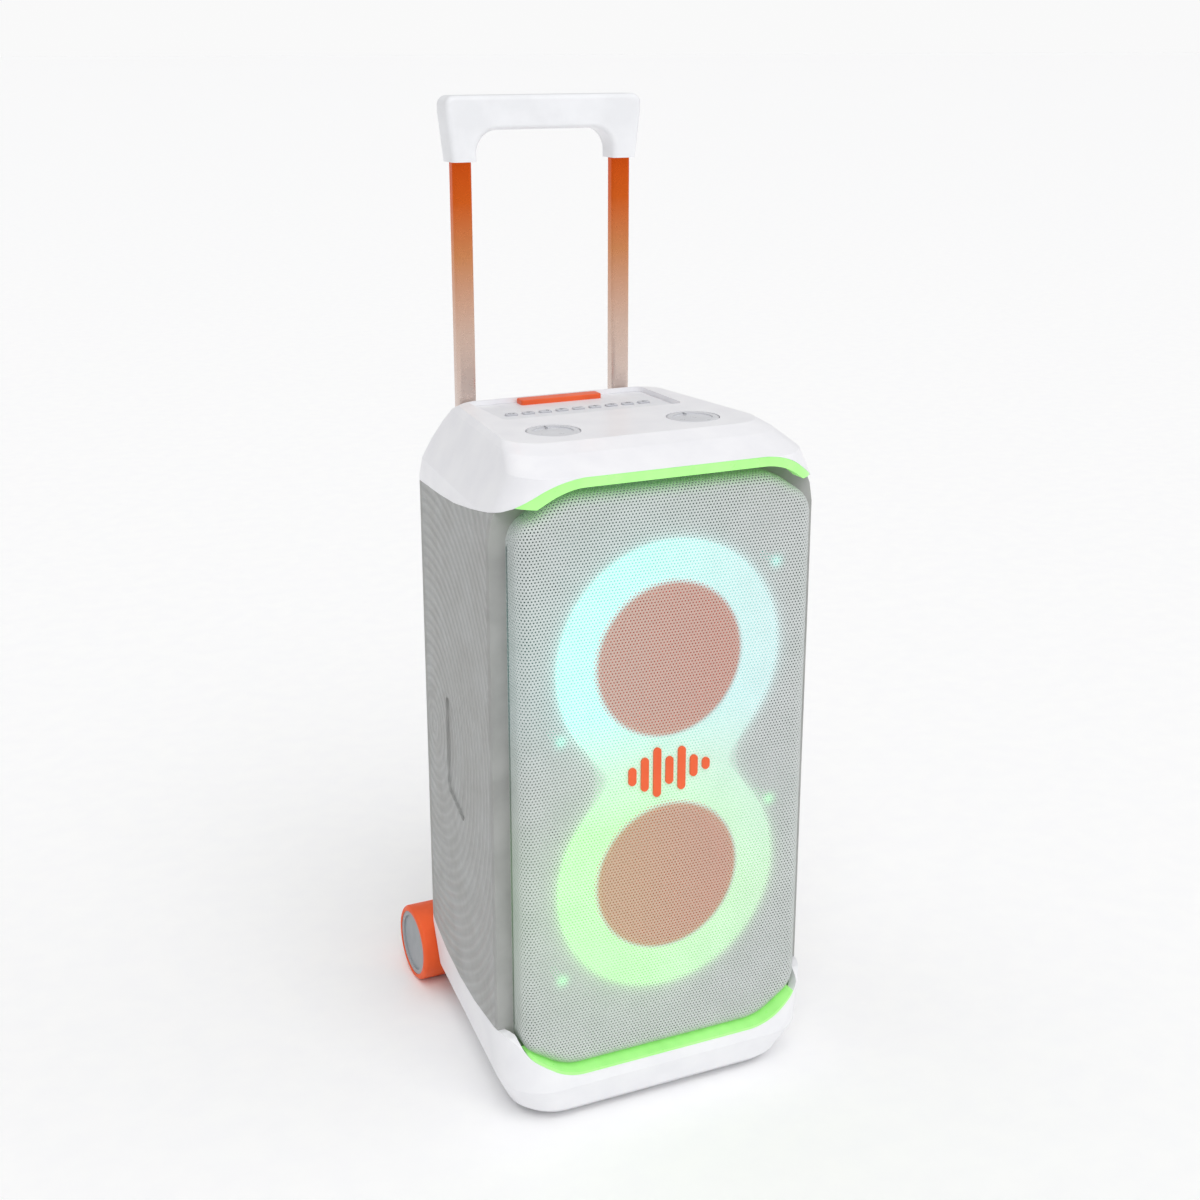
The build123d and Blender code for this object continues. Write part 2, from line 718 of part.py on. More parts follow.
button_foot = panel_floor
for index, place in enumerate(button_places):
    with BuildPart() as button:
        with BuildSketch(Plane.XY.offset(button_foot)):
            with Locations(place):
                RectangleRounded(button_length, button_width, 2.0)
        extrude(amount=panel_top + button_stand - button_foot)
        fillet(button.edges().group_by(Axis.Z)[-1], 0.6)
    button.part.label = f"button_{index + 1}"
    export_step(button.part, f"parts/button_{index + 1}.step")

with BuildPart() as control_board:
    with BuildSketch(Plane.XY.offset(panel_seat - board_thickness)):
        with Locations((0, button_row)):
            Rectangle(button_pitch * button_count + 2 * seat_wall, button_width + 4 * panel_ledge)
    extrude(amount=board_thickness)
control_board.part.label = "control_board"
export_step(control_board.part, "parts/control_board.step")

with BuildPart() as accent_bar:
    with BuildSketch(Plane.XY.offset(panel_top)):
        with Locations((0, panel_rear - 2.0 - accent_depth / 2)):
            RectangleRounded(accent_length, accent_depth, 2.5)
    extrude(amount=accent_height)
    fillet(accent_bar.edges().group_by(Axis.Z)[-1], 1.2)
accent_bar.part.label = "accent_bar"
export_step(accent_bar.part, "parts/accent_bar.step")

for side, sign in (("left", -1), ("right", 1)):
    with BuildPart() as dial:
        with BuildSketch(Plane.XY.offset(plateau_height - dial_height)):
            with Locations((sign * dial_offset, dial_row)):
                Circle(dial_radius)
        extrude(amount=dial_height)
        fillet(dial.edges().group_by(Axis.Z)[-1], 1.5)
        with BuildSketch(Plane.XY.offset(plateau_height - 1.2)):
            with Locations((sign * dial_offset, dial_row)):
                Circle(dial_radius - 6.0)
        extrude(amount=dial_height, mode=Mode.SUBTRACT)
        with BuildSketch(Plane.XY.offset(plateau_height - 2.4)):
            with Locations((sign * dial_offset, dial_row + dial_radius - 10.0)):
                Circle(1.6)
        extrude(amount=dial_height, mode=Mode.SUBTRACT)
        with BuildSketch(Plane.XY.offset(plateau_height - dial_height)):
            with Locations((sign * dial_offset, dial_row)):
                Circle(dial_spindle_radius + dial_spindle_clearance)
        extrude(amount=dial_spindle_height + fit_gap, mode=Mode.SUBTRACT)
    dial.part.label = f"dial_{side}"
    export_step(dial.part, f"parts/dial_{side}.step")

# ---- Telescopic handle ----

tube_bottom = nest_ledge - tube_overlap
guide_bottom = tube_bottom - handle_travel - 12.0
tube_sides = (("left", -tube_offset), ("right", tube_offset))
for side, x in tube_sides:
    with BuildPart() as handle_guide:
        with BuildSketch(Plane.XY.offset(guide_bottom)):
            with Locations((x, tube_row)):
                RectangleRounded(tube_width + 2 * (tube_slide_gap + guide_wall) - 2 * fit_gap,
                                 tube_depth + 2 * (tube_slide_gap + guide_wall) - 2 * fit_gap, 5.0)
        extrude(amount=nest_ledge + 1.5 - guide_bottom)
        with BuildSketch(Plane.XY.offset(guide_bottom + 3.0)):
            with Locations((x, tube_row)):
                RectangleRounded(tube_width + 2 * tube_slide_gap, tube_depth + 2 * tube_slide_gap,
                                 4.0 + tube_slide_gap)
        extrude(amount=far * 2, mode=Mode.SUBTRACT)
    handle_guide.part.label = f"handle_guide_{side}"
    export_step(handle_guide.part, f"parts/handle_guide_{side}.step")

    with BuildPart() as handle_tube:
        with BuildSketch(Plane.XY.offset(tube_bottom)):
            with Locations((x, tube_row)):
                RectangleRounded(tube_width, tube_depth, 4.0)
                RectangleRounded(tube_width - 2 * tube_wall, tube_depth - 2 * tube_wall,
                                 4.0 - tube_wall, mode=Mode.SUBTRACT)
        extrude(amount=grip_leg_bottom - tube_bottom)
    handle_tube.part.label = f"handle_tube_{side}"
    export_step(handle_tube.part, f"parts/handle_tube_{side}.step")

grip_back = tube_row + grip_depth / 2
release_height_z = (grip_opening_top + grip_top) / 2
with BuildPart() as handle_grip:
    with BuildSketch(Plane.XZ.offset(-grip_back)) as grip_outline:
        Polygon((-grip_leg_half_width, grip_leg_bottom), (-grip_half_width, grip_top - 16.0),
                (-grip_half_width, grip_top), (grip_half_width, grip_top),
                (grip_half_width, grip_top - 16.0), (grip_leg_half_width, grip_leg_bottom), align=None)
        fillet(grip_outline.vertices().group_by(Axis.Y)[-1], grip_corner)
        with Locations((0, (grip_leg_bottom - far + grip_opening_top) / 2)):
            Rectangle(2 * grip_leg_inner, grip_opening_top - grip_leg_bottom + far, mode=Mode.SUBTRACT)
        fillet(grip_outline.vertices().filter_by(
            lambda v: abs(v.Y - grip_opening_top) < 0.01), grip_opening_radius)
    extrude(amount=grip_depth)
    fillet(handle_grip.faces().sort_by(Axis.Y)[0].edges().filter_by(
        lambda e: e.center().Z > grip_leg_bottom + 1), 5.0)
    fillet(handle_grip.faces().sort_by(Axis.Y)[-1].edges().filter_by(
        lambda e: e.center().Z > grip_leg_bottom + 1), 5.0)
    with BuildSketch(Plane.XZ.offset(-grip_back)):
        with Locations((0, release_height_z)):
            RectangleRounded(release_length + 2 * release_clearance, release_height + 2 * release_clearance, 4.0)
    extrude(amount=release_depth + release_stand, mode=Mode.SUBTRACT)
handle_grip.part.label = "handle_grip"
export_step(handle_grip.part, "parts/handle_grip.step")

with BuildPart() as release_button:
    with BuildSketch(Plane.XZ.offset(-grip_back - release_stand)):
        with Locations((0, release_height_z)):
            RectangleRounded(release_length, release_height, 3.6)
    extrude(amount=release_depth)
    fillet(release_button.faces().sort_by(Axis.Y)[-1].edges(), 1.2)
release_button.part.label = "release_button"
export_step(release_button.part, "parts/release_button.step")

# ---- Wheels ----

axle_end = wheel_outer_face - hub_recess - 8.0
with BuildPart() as axle:
    with BuildSketch(Plane.YZ.offset(-axle_end)):
        with Locations((wheel_row, wheel_radius)):
            Circle(axle_radius)
    extrude(amount=2 * axle_end)
axle.part.label = "axle"
export_step(axle.part, "parts/axle.step")

for side, sign in (("left", -1), ("right", 1)):
    inner_face = sign * (wheel_outer_face - wheel_width)
    with BuildPart() as tyre:
        with BuildSketch(Plane.YZ.offset(inner_face)):
            with Locations((wheel_row, wheel_radius)):
                Circle(wheel_radius)
        extrude(amount=sign * wheel_width)
        fillet(tyre.edges(), 4.0)
        with BuildSketch(Plane.YZ.offset(inner_face)):
            with Locations((wheel_row, wheel_radius)):
                Circle(hub_radius)
        extrude(amount=sign * wheel_width, mode=Mode.SUBTRACT)
    tyre.part.label = f"tyre_{side}"
    export_step(tyre.part, f"parts/tyre_{side}.step")

    with BuildPart() as hub:
        with BuildSketch(Plane.YZ.offset(inner_face + sign * 1.0)):
            with Locations((wheel_row, wheel_radius)):
                Circle(hub_radius)
        extrude(amount=sign * (wheel_width - 2.0))
        with BuildSketch(Plane.YZ.offset(sign * (wheel_outer_face - hub_recess))):
            with Locations((wheel_row, wheel_radius)):
                Circle(hub_radius - 5.0)
        extrude(amount=sign * far, mode=Mode.SUBTRACT)
        with BuildSketch(Plane.YZ.offset(inner_face)):
            with Locations((wheel_row, wheel_radius)):
                Circle(axle_radius + axle_clearance)
        extrude(amount=sign * (axle_end - wheel_outer_face + wheel_width + 1.0), mode=Mode.SUBTRACT)
    hub.part.label = f"hub_{side}"
    export_step(hub.part, f"parts/hub_{side}.step")

# ---- Rear side and inside ----

with BuildPart() as bass_port:
    with BuildSketch(Plane.XZ.offset(-rear_wall)):
        with Locations((0, port_height)):
            Circle(port_radius + port_wall - fit_gap)
            Circle(port_radius, mode=Mode.SUBTRACT)
    extrude(amount=port_length)
    fillet(bass_port.faces().sort_by(Axis.Y)[-1].inner_wires()[0].edges(), 2.0)
bass_port.part.label = "bass_port"
export_step(bass_port.part, "parts/bass_port.step")

io_face = rear_wall - io_recess
jack_places = [(-jack_offset - 8.0, io_height), (-jack_offset + 22.0, io_height)]
with BuildPart() as io_plate:
    with BuildSketch(Plane.XZ.offset(-io_face)):
        with Locations((0, io_height)):
            RectangleRounded(2 * (io_half_width - fit_gap), 2 * (io_half_height - fit_gap), 4.0 - fit_gap)
        with Locations(*jack_places):
            Circle(jack_radius + fit_gap, mode=Mode.SUBTRACT)
        with Locations(inlet_place):
            Rectangle(inlet_width + 2 * fit_gap, inlet_height + 2 * fit_gap, mode=Mode.SUBTRACT)
    extrude(amount=io_thickness)
io_plate.part.label = "io_plate"
export_step(io_plate.part, "parts/io_plate.step")

with BuildPart() as io_jacks:
    with BuildSketch(Plane.XZ.offset(-io_face - 1.0)):
        with Locations(*jack_places):
            Circle(jack_radius)
    extrude(amount=jack_depth + 4.0)
    with BuildSketch(Plane.XZ.offset(-io_face - 1.0)):
        with Locations(*jack_places):
            Circle(jack_bore)
    extrude(amount=jack_depth, mode=Mode.SUBTRACT)
io_jacks.part.label = "io_jacks"
export_step(io_jacks.part, "parts/io_jacks.step")

with BuildPart() as ac_inlet:
    with BuildSketch(Plane.XZ.offset(-io_face - 1.0)):
        with Locations(inlet_place):
            RectangleRounded(inlet_width, inlet_height, 2.0)
    extrude(amount=inlet_depth)
    with BuildSketch(Plane.XZ.offset(-io_face - 1.0)):
        with Locations(inlet_place):
            RectangleRounded(inlet_socket_width, inlet_socket_height, 2.0)
    extrude(amount=inlet_depth - 3.0, mode=Mode.SUBTRACT)
ac_inlet.part.label = "ac_inlet"
export_step(ac_inlet.part, "parts/ac_inlet.step")

with BuildPart() as battery_door:
    with BuildSketch(Plane.XZ.offset(-rear_wall + 1.0)):
        with Locations((0, door_height)):
            RectangleRounded(2 * door_half_width, 2 * door_half_height, 5.5)
    extrude(amount=door_thickness)
battery_door.part.label = "battery_door"
export_step(battery_door.part, "parts/battery_door.step")

bay_front = cabinet_rear + 2.0
bay_back = rear_wall - skin - 3.0
with BuildPart() as battery_pack:
    with BuildSketch(Plane.XZ.offset(-bay_back)):
        with Locations((0, door_height)):
            RectangleRounded(2 * (door_half_width - 8.0), 2 * (door_half_height - 6.0), 4.0)
    extrude(amount=bay_back - bay_front)
battery_pack.part.label = "battery_pack"
export_step(battery_pack.part, "parts/battery_pack.step")

board_bottom = door_height + door_half_height + 6.0
with BuildPart() as amplifier_board:
    with BuildSketch(Plane.XZ.offset(-bay_front - 2.0)):
        with Locations((0, (board_bottom + port_height - port_radius - port_wall - 4.0) / 2)):
            Rectangle(2 * (door_half_width - 8.0), port_height - port_radius - port_wall - 4.0 - board_bottom)
    extrude(amount=2.0)
amplifier_board.part.label = "amplifier_board"
export_step(amplifier_board.part, "parts/amplifier_board.step")
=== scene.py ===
import logging
import math
from dataclasses import dataclass, field
from enum import Enum

import bpy
import numpy as np
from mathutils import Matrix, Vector


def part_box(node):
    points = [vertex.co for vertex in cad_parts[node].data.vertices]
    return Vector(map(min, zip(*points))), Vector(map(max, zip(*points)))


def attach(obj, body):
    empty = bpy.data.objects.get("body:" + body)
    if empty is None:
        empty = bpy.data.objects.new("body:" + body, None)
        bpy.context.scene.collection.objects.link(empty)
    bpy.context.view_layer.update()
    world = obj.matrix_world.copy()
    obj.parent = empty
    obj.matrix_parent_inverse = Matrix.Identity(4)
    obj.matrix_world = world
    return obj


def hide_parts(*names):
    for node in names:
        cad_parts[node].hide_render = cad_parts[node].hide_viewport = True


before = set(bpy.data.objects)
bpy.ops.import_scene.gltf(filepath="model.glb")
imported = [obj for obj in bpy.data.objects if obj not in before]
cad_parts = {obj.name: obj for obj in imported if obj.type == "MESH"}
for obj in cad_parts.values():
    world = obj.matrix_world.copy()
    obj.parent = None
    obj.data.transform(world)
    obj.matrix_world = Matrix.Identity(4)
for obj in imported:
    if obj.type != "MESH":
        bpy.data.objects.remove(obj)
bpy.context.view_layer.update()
LOG = logging.getLogger("party_speaker")
MM = 0.001


class Ride(Enum):
    """Bodies that added pieces ride on."""

    CHASSIS = "chassis"
    DIAL_LEFT = "dial_left"
    DIAL_RIGHT = "dial_right"


def linear(hex_code: str) -> tuple[float, float, float, float]:
    """Turns an sRGB hex value into linear RGBA.

    Args:
        hex_code: Six hex digits, with or without a hash.

    Returns:
        The linear colour, with an alpha of 1.
    """
    digits = hex_code.lstrip("#")
    channels = [int(digits[i:i + 2], 16) / 255 for i in (0, 2, 4)]
    straight = [c / 12.92 if c <= 0.04045 else ((c + 0.055) / 1.055) ** 2.4 for c in channels]
    return (*straight, 1.0)


def add_node(tree: bpy.types.NodeTree, kind: str, inputs: dict | None = None, **settings) -> bpy.types.Node:
    """Adds a node with its settings, its plain values and its links.

    Args:
        tree: The node tree that takes the node.
        kind: The node's type name.
        inputs: Values or output sockets, by input name or number.
        **settings: Properties of the node itself.

    Returns:
        The new node.
    """
    made = tree.nodes.new(kind)
    for key, value in settings.items():
        setattr(made, key, value)
    for key, value in (inputs or {}).items():
        if isinstance(value, bpy.types.NodeSocket):
            tree.links.new(value, made.inputs[key])
        else:
            made.inputs[key].default_value = value
    return made


def calc(tree: bpy.types.NodeTree, operation: str, *values) -> bpy.types.NodeSocket:
    """Adds one step of arithmetic on numbers or sockets.

    Args:
        tree: The node tree.
        operation: The Math node's operation.
        *values: Up to three numbers or sockets.

    Returns:
        The result's socket.
    """
    return add_node(tree, "ShaderNodeMath", dict(enumerate(values)), operation=operation).outputs[0]


# ---- Finishes ----


@dataclass(frozen=True)
class Finish:
    """A moulded, cast or painted surface: a colour that wanders a little over a fine grain."""

    name: str
    light: str
    dark: str
    roughness: float = 0.4
    grain_mm: float = 0.8
    relief_mm: float = 0.02
    metallic: float = 0.0
    coat: float = 0.0
    ior: float = 1.5

    def start(self) -> tuple[bpy.types.Material, bpy.types.NodeTree, bpy.types.Node]:
        """Makes the material with an empty Principled surface.

        Returns:
            The material, its node tree and its Principled node.
        """
        material = bpy.data.materials.new(self.name)
        material.use_nodes = True
        tree = material.node_tree
        tree.nodes.clear()
        surface = add_node(tree, "ShaderNodeBsdfPrincipled",
                           {"Metallic": self.metallic, "Coat Weight": self.coat, "Coat Roughness": 0.12})
        if not self.metallic:
            surface.inputs["IOR"].default_value = self.ior
        add_node(tree, "ShaderNodeOutputMaterial", {"Surface": surface.outputs[0]})
        return material, tree, surface

    def colour(self, tree: bpy.types.NodeTree, place: bpy.types.NodeSocket) -> bpy.types.NodeSocket:
        """The surface's colour at each place.

        Args:
            tree: The material's node tree.
            place: The position in the object's frame.

        Returns:
            The colour's socket.
        """
        cloud = add_node(tree, "ShaderNodeTexNoise", {"Vector": place, "Scale": 1 / (35 * MM), "Detail": 4.0})
        ramp = add_node(tree, "ShaderNodeValToRGB", {"Fac": cloud.outputs["Fac"]})
        ramp.color_ramp.elements[0].position = 0.35
        ramp.color_ramp.elements[1].position = 0.65
        ramp.color_ramp.elements[0].color = linear(self.dark)
        ramp.color_ramp.elements[1].color = linear(self.light)
        return ramp.outputs["Color"]

    def height(self, tree: bpy.types.NodeTree, place: bpy.types.NodeSocket) -> bpy.types.NodeSocket:
        """The relief in metres at each place.

        Args:
            tree: The material's node tree.
            place: The position in the object's frame.

        Returns:
            The height's socket.
        """
        grain = add_node(tree, "ShaderNodeTexNoise",
                         {"Vector": place, "Scale": 1 / (self.grain_mm * MM), "Detail": 2.0})
        return calc(tree, "MULTIPLY", grain.outputs["Fac"], self.relief_mm * MM)

    def glow(self, tree: bpy.types.NodeTree, place: bpy.types.NodeSocket, surface: bpy.types.Node) -> None:
        """Adds the light that the surface gives off, which most surfaces don't."""

    def build(self) -> bpy.types.Material:
        """Builds the material.

        Returns:
            The finished material.
        """
        material, tree, surface = self.start()
        place = add_node(tree, "ShaderNodeTexCoord").outputs["Object"]
        tree.links.new(self.colour(tree, place), surface.inputs["Base Color"])
        smudge = add_node(tree, "ShaderNodeTexNoise", {"Vector": place, "Scale": 1 / (9 * MM), "Detail": 5.0})
        spread = add_node(tree, "ShaderNodeMapRange", {"Value": smudge.outputs["Fac"], "From Min": 0.3,
                                                       "From Max": 0.7, "To Min": self.roughness * 0.88,
                                                       "To Max": min(1.0, self.roughness * 1.12)})
        tree.links.new(spread.outputs[0], surface.inputs["Roughness"])
        bump = add_node(tree, "ShaderNodeBump", {"Height": self.height(tree, place), "Strength": 1.0,
                                                 "Distance": 1.0})
        tree.links.new(bump.outputs["Normal"], surface.inputs["Normal"])
        self.glow(tree, place, surface)
        return material


@dataclass(frozen=True)
class RippledMoulding(Finish):
    """Moulded side skin with rings that spread from one centre, like ripples on water."""

    centre_mm: tuple[float, float] = (70.0, 335.0)
    pitch_mm: float = 11.5
    depth_mm: float = 1.6

    def rings(self, tree: bpy.types.NodeTree, place: bpy.types.NodeSocket) -> bpy.types.NodeSocket:
        """The ripples' wave, from 0 in a groove to 1 on a crest.

        Args:
            tree: The material's node tree.
            place: The position in the object's frame.

        Returns:
            The wave's socket.
        """
        parts = add_node(tree, "ShaderNodeSeparateXYZ", {0: place}).outputs
        along = calc(tree, "SUBTRACT", parts[1], self.centre_mm[0] * MM)
        up = calc(tree, "SUBTRACT", parts[2], self.centre_mm[1] * MM)
        square = calc(tree, "MULTIPLY_ADD", along, along, calc(tree, "MULTIPLY", up, up))
        nearest = calc(tree, "SQRT", square)
        turn = calc(tree, "MULTIPLY", nearest, 2 * math.pi / (self.pitch_mm * MM))
        return calc(tree, "MULTIPLY_ADD", calc(tree, "SINE", turn), 0.5, 0.5)

    def colour(self, tree: bpy.types.NodeTree, place: bpy.types.NodeSocket) -> bpy.types.NodeSocket:
        """Painted shade: the colour is a little darker in the grooves."""
        base = super().colour(tree, place)
        shade = add_node(tree, "ShaderNodeMapRange", {"Value": self.rings(tree, place), "To Min": 0.89,
                                                      "To Max": 1.0})
        return add_node(tree, "ShaderNodeVectorMath", {0: base, "Scale": shade.outputs[0]},
                        operation="SCALE").outputs[0]

    def height(self, tree: bpy.types.NodeTree, place: bpy.types.NodeSocket) -> bpy.types.NodeSocket:
        """The ripples stand on the moulding's own grain."""
        grain = super().height(tree, place)
        return calc(tree, "MULTIPLY_ADD", self.rings(tree, place), self.depth_mm * MM, grain)


@dataclass(frozen=True)
class RingGlow:
    """Where the figure-of-eight light lies and how its light spreads, in millimetres."""

    upper_mm: float = 465.7
    lower_mm: float = 245.3
    inner_mm: float = 77.5
    outer_mm: float = 115.0
    neck_blend_mm: float = 72.0
    spill_mm: float = 4.5
    cyan: str = "84F2E8"
    pale: str = "AEDDE2"
    green: str = "84F75C"
    neck: str = "A4EEB4"

    def tint(self, tree: bpy.types.NodeTree, place: bpy.types.NodeSocket) -> bpy.types.NodeSocket:
        """Cyan light above that turns green below, and paler towards the right.

        Args:
            tree: The material's node tree.
            place: The position in the object's frame.

        Returns:
            The light's colour.
        """
        parts = add_node(tree, "ShaderNodeSeparateXYZ", {0: place}).outputs
        share = add_node(tree, "ShaderNodeMapRange", {"Value": parts[2], "From Min": 0.15, "From Max": 0.60})
        ramp = add_node(tree, "ShaderNodeValToRGB", {"Fac": share.outputs[0]})
        stops = ramp.color_ramp.elements
        stops[0].position = 0.34
        stops[0].color = linear(self.green)
        stops[1].position = 0.60
        stops[1].color = linear(self.cyan)
        stops.new(0.47).color = linear(self.neck)
        aside = add_node(tree, "ShaderNodeMapRange", {"Value": parts[0], "From Min": -0.03, "From Max": 0.10,
                                                      "To Max": 0.75})
        mixed = add_node(tree, "ShaderNodeMix", {"Factor": aside.outputs[0], 6: ramp.outputs["Color"]},
                         data_type="RGBA")
        high = add_node(tree, "ShaderNodeMapRange", {"Value": parts[2], "From Min": 0.22, "From Max": 0.40})
        side = add_node(tree, "ShaderNodeMix", {"Factor": high.outputs[0], 6: linear("A2E69C"),
                                                7: linear(self.pale)}, data_type="RGBA")
        tree.links.new(side.outputs[2], mixed.inputs[7])
        return mixed.outputs[2]

    def distance(self, tree: bpy.types.NodeTree, place: bpy.types.NodeSocket) -> bpy.types.NodeSocket:
        """Distance from the nearer woofer's centre, blended across the neck, in metres.

        Args:
            tree: The material's node tree.
            place: The position in the object's frame.

        Returns:
            The distance's socket.
        """
        parts = add_node(tree, "ShaderNodeSeparateXYZ", {0: place}).outputs
        across = calc(tree, "MULTIPLY", parts[0], parts[0])
        reach = []
        for z_mm in (self.upper_mm, self.lower_mm):
            up = calc(tree, "SUBTRACT", parts[2], z_mm * MM)
            reach.append(calc(tree, "SQRT", calc(tree, "MULTIPLY_ADD", up, up, across)))
        return calc(tree, "SMOOTH_MIN", *reach, self.neck_blend_mm * MM)

    def strength(self, tree: bpy.types.NodeTree, place: bpy.types.NodeSocket) -> bpy.types.NodeSocket:
        """Brightness of the light that the ring spills on what lies around it, from 0 to 1.

        Args:
            tree: The material's node tree.
            place: The position in the object's frame.

        Returns:
            The brightness socket.
        """
        far = self.distance(tree, place)
        outside = calc(tree, "MAXIMUM", calc(tree, "SUBTRACT", far, self.outer_mm * MM), 0.0)
        inside = calc(tree, "MAXIMUM", calc(tree, "SUBTRACT", self.inner_mm * MM, far), 0.0)
        outer_fall = calc(tree, "EXPONENT", calc(tree, "MULTIPLY", outside, -1 / (self.spill_mm * MM)))
        inner_fall = calc(tree, "EXPONENT", calc(tree, "MULTIPLY", inside, -1 / (2.5 * MM)))
        return calc(tree, "MULTIPLY", outer_fall, inner_fall)


STROBES_MM = (
    (-111.3, 402.9, "4FE0C0"),
    (-111.3, 158.0, "6CF08A"),
    (111.3, 546.4, "66E0CE"),
    (111.3, 304.1, "6CF08A"),
)


@dataclass(frozen=True)
class PerforatedSteel(Finish):
    """Punched steel sheet with powder coat, lit from behind by the ring and the small lights."""

    ring: RingGlow = field(default_factory=RingGlow)
    ring_power: float = 0.37
    haze_power: float = 0.11
    haze_mm: float = 42.0
    strobe_power: float = 0.42
    cone_mm: float = 75.5
    cone_cast: str = "C6A094"

    def colour(self, tree: bpy.types.NodeTree, place: bpy.types.NodeSocket) -> bpy.types.NodeSocket:
        """In front of each cone the wires take on its colour."""
        far = self.ring.distance(tree, place)
        inside = add_node(tree, "ShaderNodeMapRange",
                          {"Value": far, "From Min": (self.cone_mm - 3) * MM, "From Max": self.cone_mm * MM,
                           "To Min": 1.0, "To Max": 0.0})
        return add_node(tree, "ShaderNodeMix", {"Factor": inside.outputs[0], 6: super().colour(tree, place),
                                                7: linear(self.cone_cast)}, data_type="RGBA").outputs[2]

    def glow(self, tree: bpy.types.NodeTree, place: bpy.types.NodeSocket, surface: bpy.types.Node) -> None:
        """Lets the coat carry the light that the ring and the small lights throw on the wires.

        Args:
            tree: The material's node tree.
            place: The position in the object's frame.
            surface: The Principled node.
        """
        parts = add_node(tree, "ShaderNodeSeparateXYZ", {0: place}).outputs
        beyond = calc(tree, "MAXIMUM", calc(tree, "SUBTRACT", self.ring.distance(tree, place),
                                            self.ring.outer_mm * MM), 0.0)
        fall = calc(tree, "EXPONENT", calc(tree, "MULTIPLY", beyond, -1 / (self.haze_mm * MM)))
        aside = add_node(tree, "ShaderNodeMapRange", {"Value": parts[0], "From Min": -0.10, "From Max": 0.10,
                                                      "To Min": self.haze_power, "To Max": 0.02})
        cast = calc(tree, "MULTIPLY_ADD", self.ring.strength(tree, place), self.ring_power,
                    calc(tree, "MULTIPLY", fall, aside.outputs[0]))
        total = add_node(tree, "ShaderNodeVectorMath", {0: self.ring.tint(tree, place), "Scale": cast},
                         operation="SCALE").outputs[0]
        for x_mm, z_mm, colour in STROBES_MM:
            across = calc(tree, "SUBTRACT", parts[0], x_mm * MM)
            up = calc(tree, "SUBTRACT", parts[2], z_mm * MM)
            square = calc(tree, "MULTIPLY_ADD", across, across, calc(tree, "MULTIPLY", up, up))
            spot = calc(tree, "EXPONENT", calc(tree, "MULTIPLY", square, -1 / (6.5 * MM) ** 2))
            lit = add_node(tree, "ShaderNodeVectorMath",
                           {0: linear(colour)[:3], "Scale": calc(tree, "MULTIPLY", spot, self.strobe_power)},
                           operation="SCALE").outputs[0]
            total = add_node(tree, "ShaderNodeVectorMath", {0: total, 1: lit}, operation="ADD").outputs[0]
        tree.links.new(total, surface.inputs["Emission Color"])
        surface.inputs["Emission Strength"].default_value = 1.0


@dataclass(frozen=True)
class LitDiffuser(Finish):
    """Milky diffuser with a row of lamps behind it: bright over each lamp, softer between."""

    ring: RingGlow = field(default_factory=RingGlow)
    power: float = 0.48

    def glow(self, tree: bpy.types.NodeTree, place: bpy.types.NodeSocket, surface: bpy.types.Node) -> None:
        """Lights the whole diffuser.

        Args:
            tree: The material's node tree.
            place: The position in the object's frame.
            surface: The Principled node.
        """
        lamps = add_node(tree, "ShaderNodeTexVoronoi", {"Vector": place, "Scale": 1 / (17 * MM)})
        even = add_node(tree, "ShaderNodeMapRange", {"Value": lamps.outputs["Distance"], "To Min": 1.0,
                                                     "To Max": 0.86})
        lit = add_node(tree, "ShaderNodeVectorMath",
                       {0: self.ring.tint(tree, place), "Scale": even.outputs[0]}, operation="SCALE")
        tree.links.new(lit.outputs[0], surface.inputs["Emission Color"])
        surface.inputs["Emission Strength"].default_value = self.power


@dataclass(frozen=True)
class LitStrip(Finish):
    """Clear acrylic light guide that glows along its length."""

    lamp: str = "9DF27E"
    power: float = 0.36

    def glow(self, tree: bpy.types.NodeTree, place: bpy.types.NodeSocket, surface: bpy.types.Node) -> None:
        """Lights the guide, a little brighter over each lamp.

        Args:
            tree: The material's node tree.
            place: The position in the object's frame.
            surface: The Principled node.
        """
        across = add_node(tree, "ShaderNodeSeparateXYZ", {0: place}).outputs[0]
        wave = calc(tree, "SINE", calc(tree, "MULTIPLY", across, 2 * math.pi / (16 * MM)))
        even = calc(tree, "MULTIPLY_ADD", wave, 0.06, 0.94)
        lit = add_node(tree, "ShaderNodeVectorMath", {0: linear(self.lamp)[:3], "Scale": even},
                       operation="SCALE")
        tree.links.new(lit.outputs[0], surface.inputs["Emission Color"])
        surface.inputs["Emission Strength"].default_value = self.power


@dataclass(frozen=True)
class LitPipes(Finish):
    """Clear light pipes, of which four are lit and four are off."""

    power: float = 0.45

    def glow(self, tree: bpy.types.NodeTree, place: bpy.types.NodeSocket, surface: bpy.types.Node) -> None:
        """Lights the pipes at the lit places.

        Args:
            tree: The material's node tree.
            place: The position in the object's frame.
            surface: The Principled node.
        """
        parts = add_node(tree, "ShaderNodeSeparateXYZ", {0: place}).outputs
        total = None
        for x_mm, z_mm, colour in STROBES_MM:
            across = calc(tree, "ABSOLUTE", calc(tree, "SUBTRACT", parts[0], x_mm * MM))
            up = calc(tree, "ABSOLUTE", calc(tree, "SUBTRACT", parts[2], z_mm * MM))
            near = calc(tree, "LESS_THAN", calc(tree, "MAXIMUM", across, up), 6 * MM)
            lit = add_node(tree, "ShaderNodeVectorMath", {0: linear(colour)[:3], "Scale": near},
                           operation="SCALE").outputs[0]
            total = lit if total is None else add_node(tree, "ShaderNodeVectorMath", {0: total, 1: lit},
                                                       operation="ADD").outputs[0]
        tree.links.new(total, surface.inputs["Emission Color"])
        surface.inputs["Emission Strength"].default_value = self.power


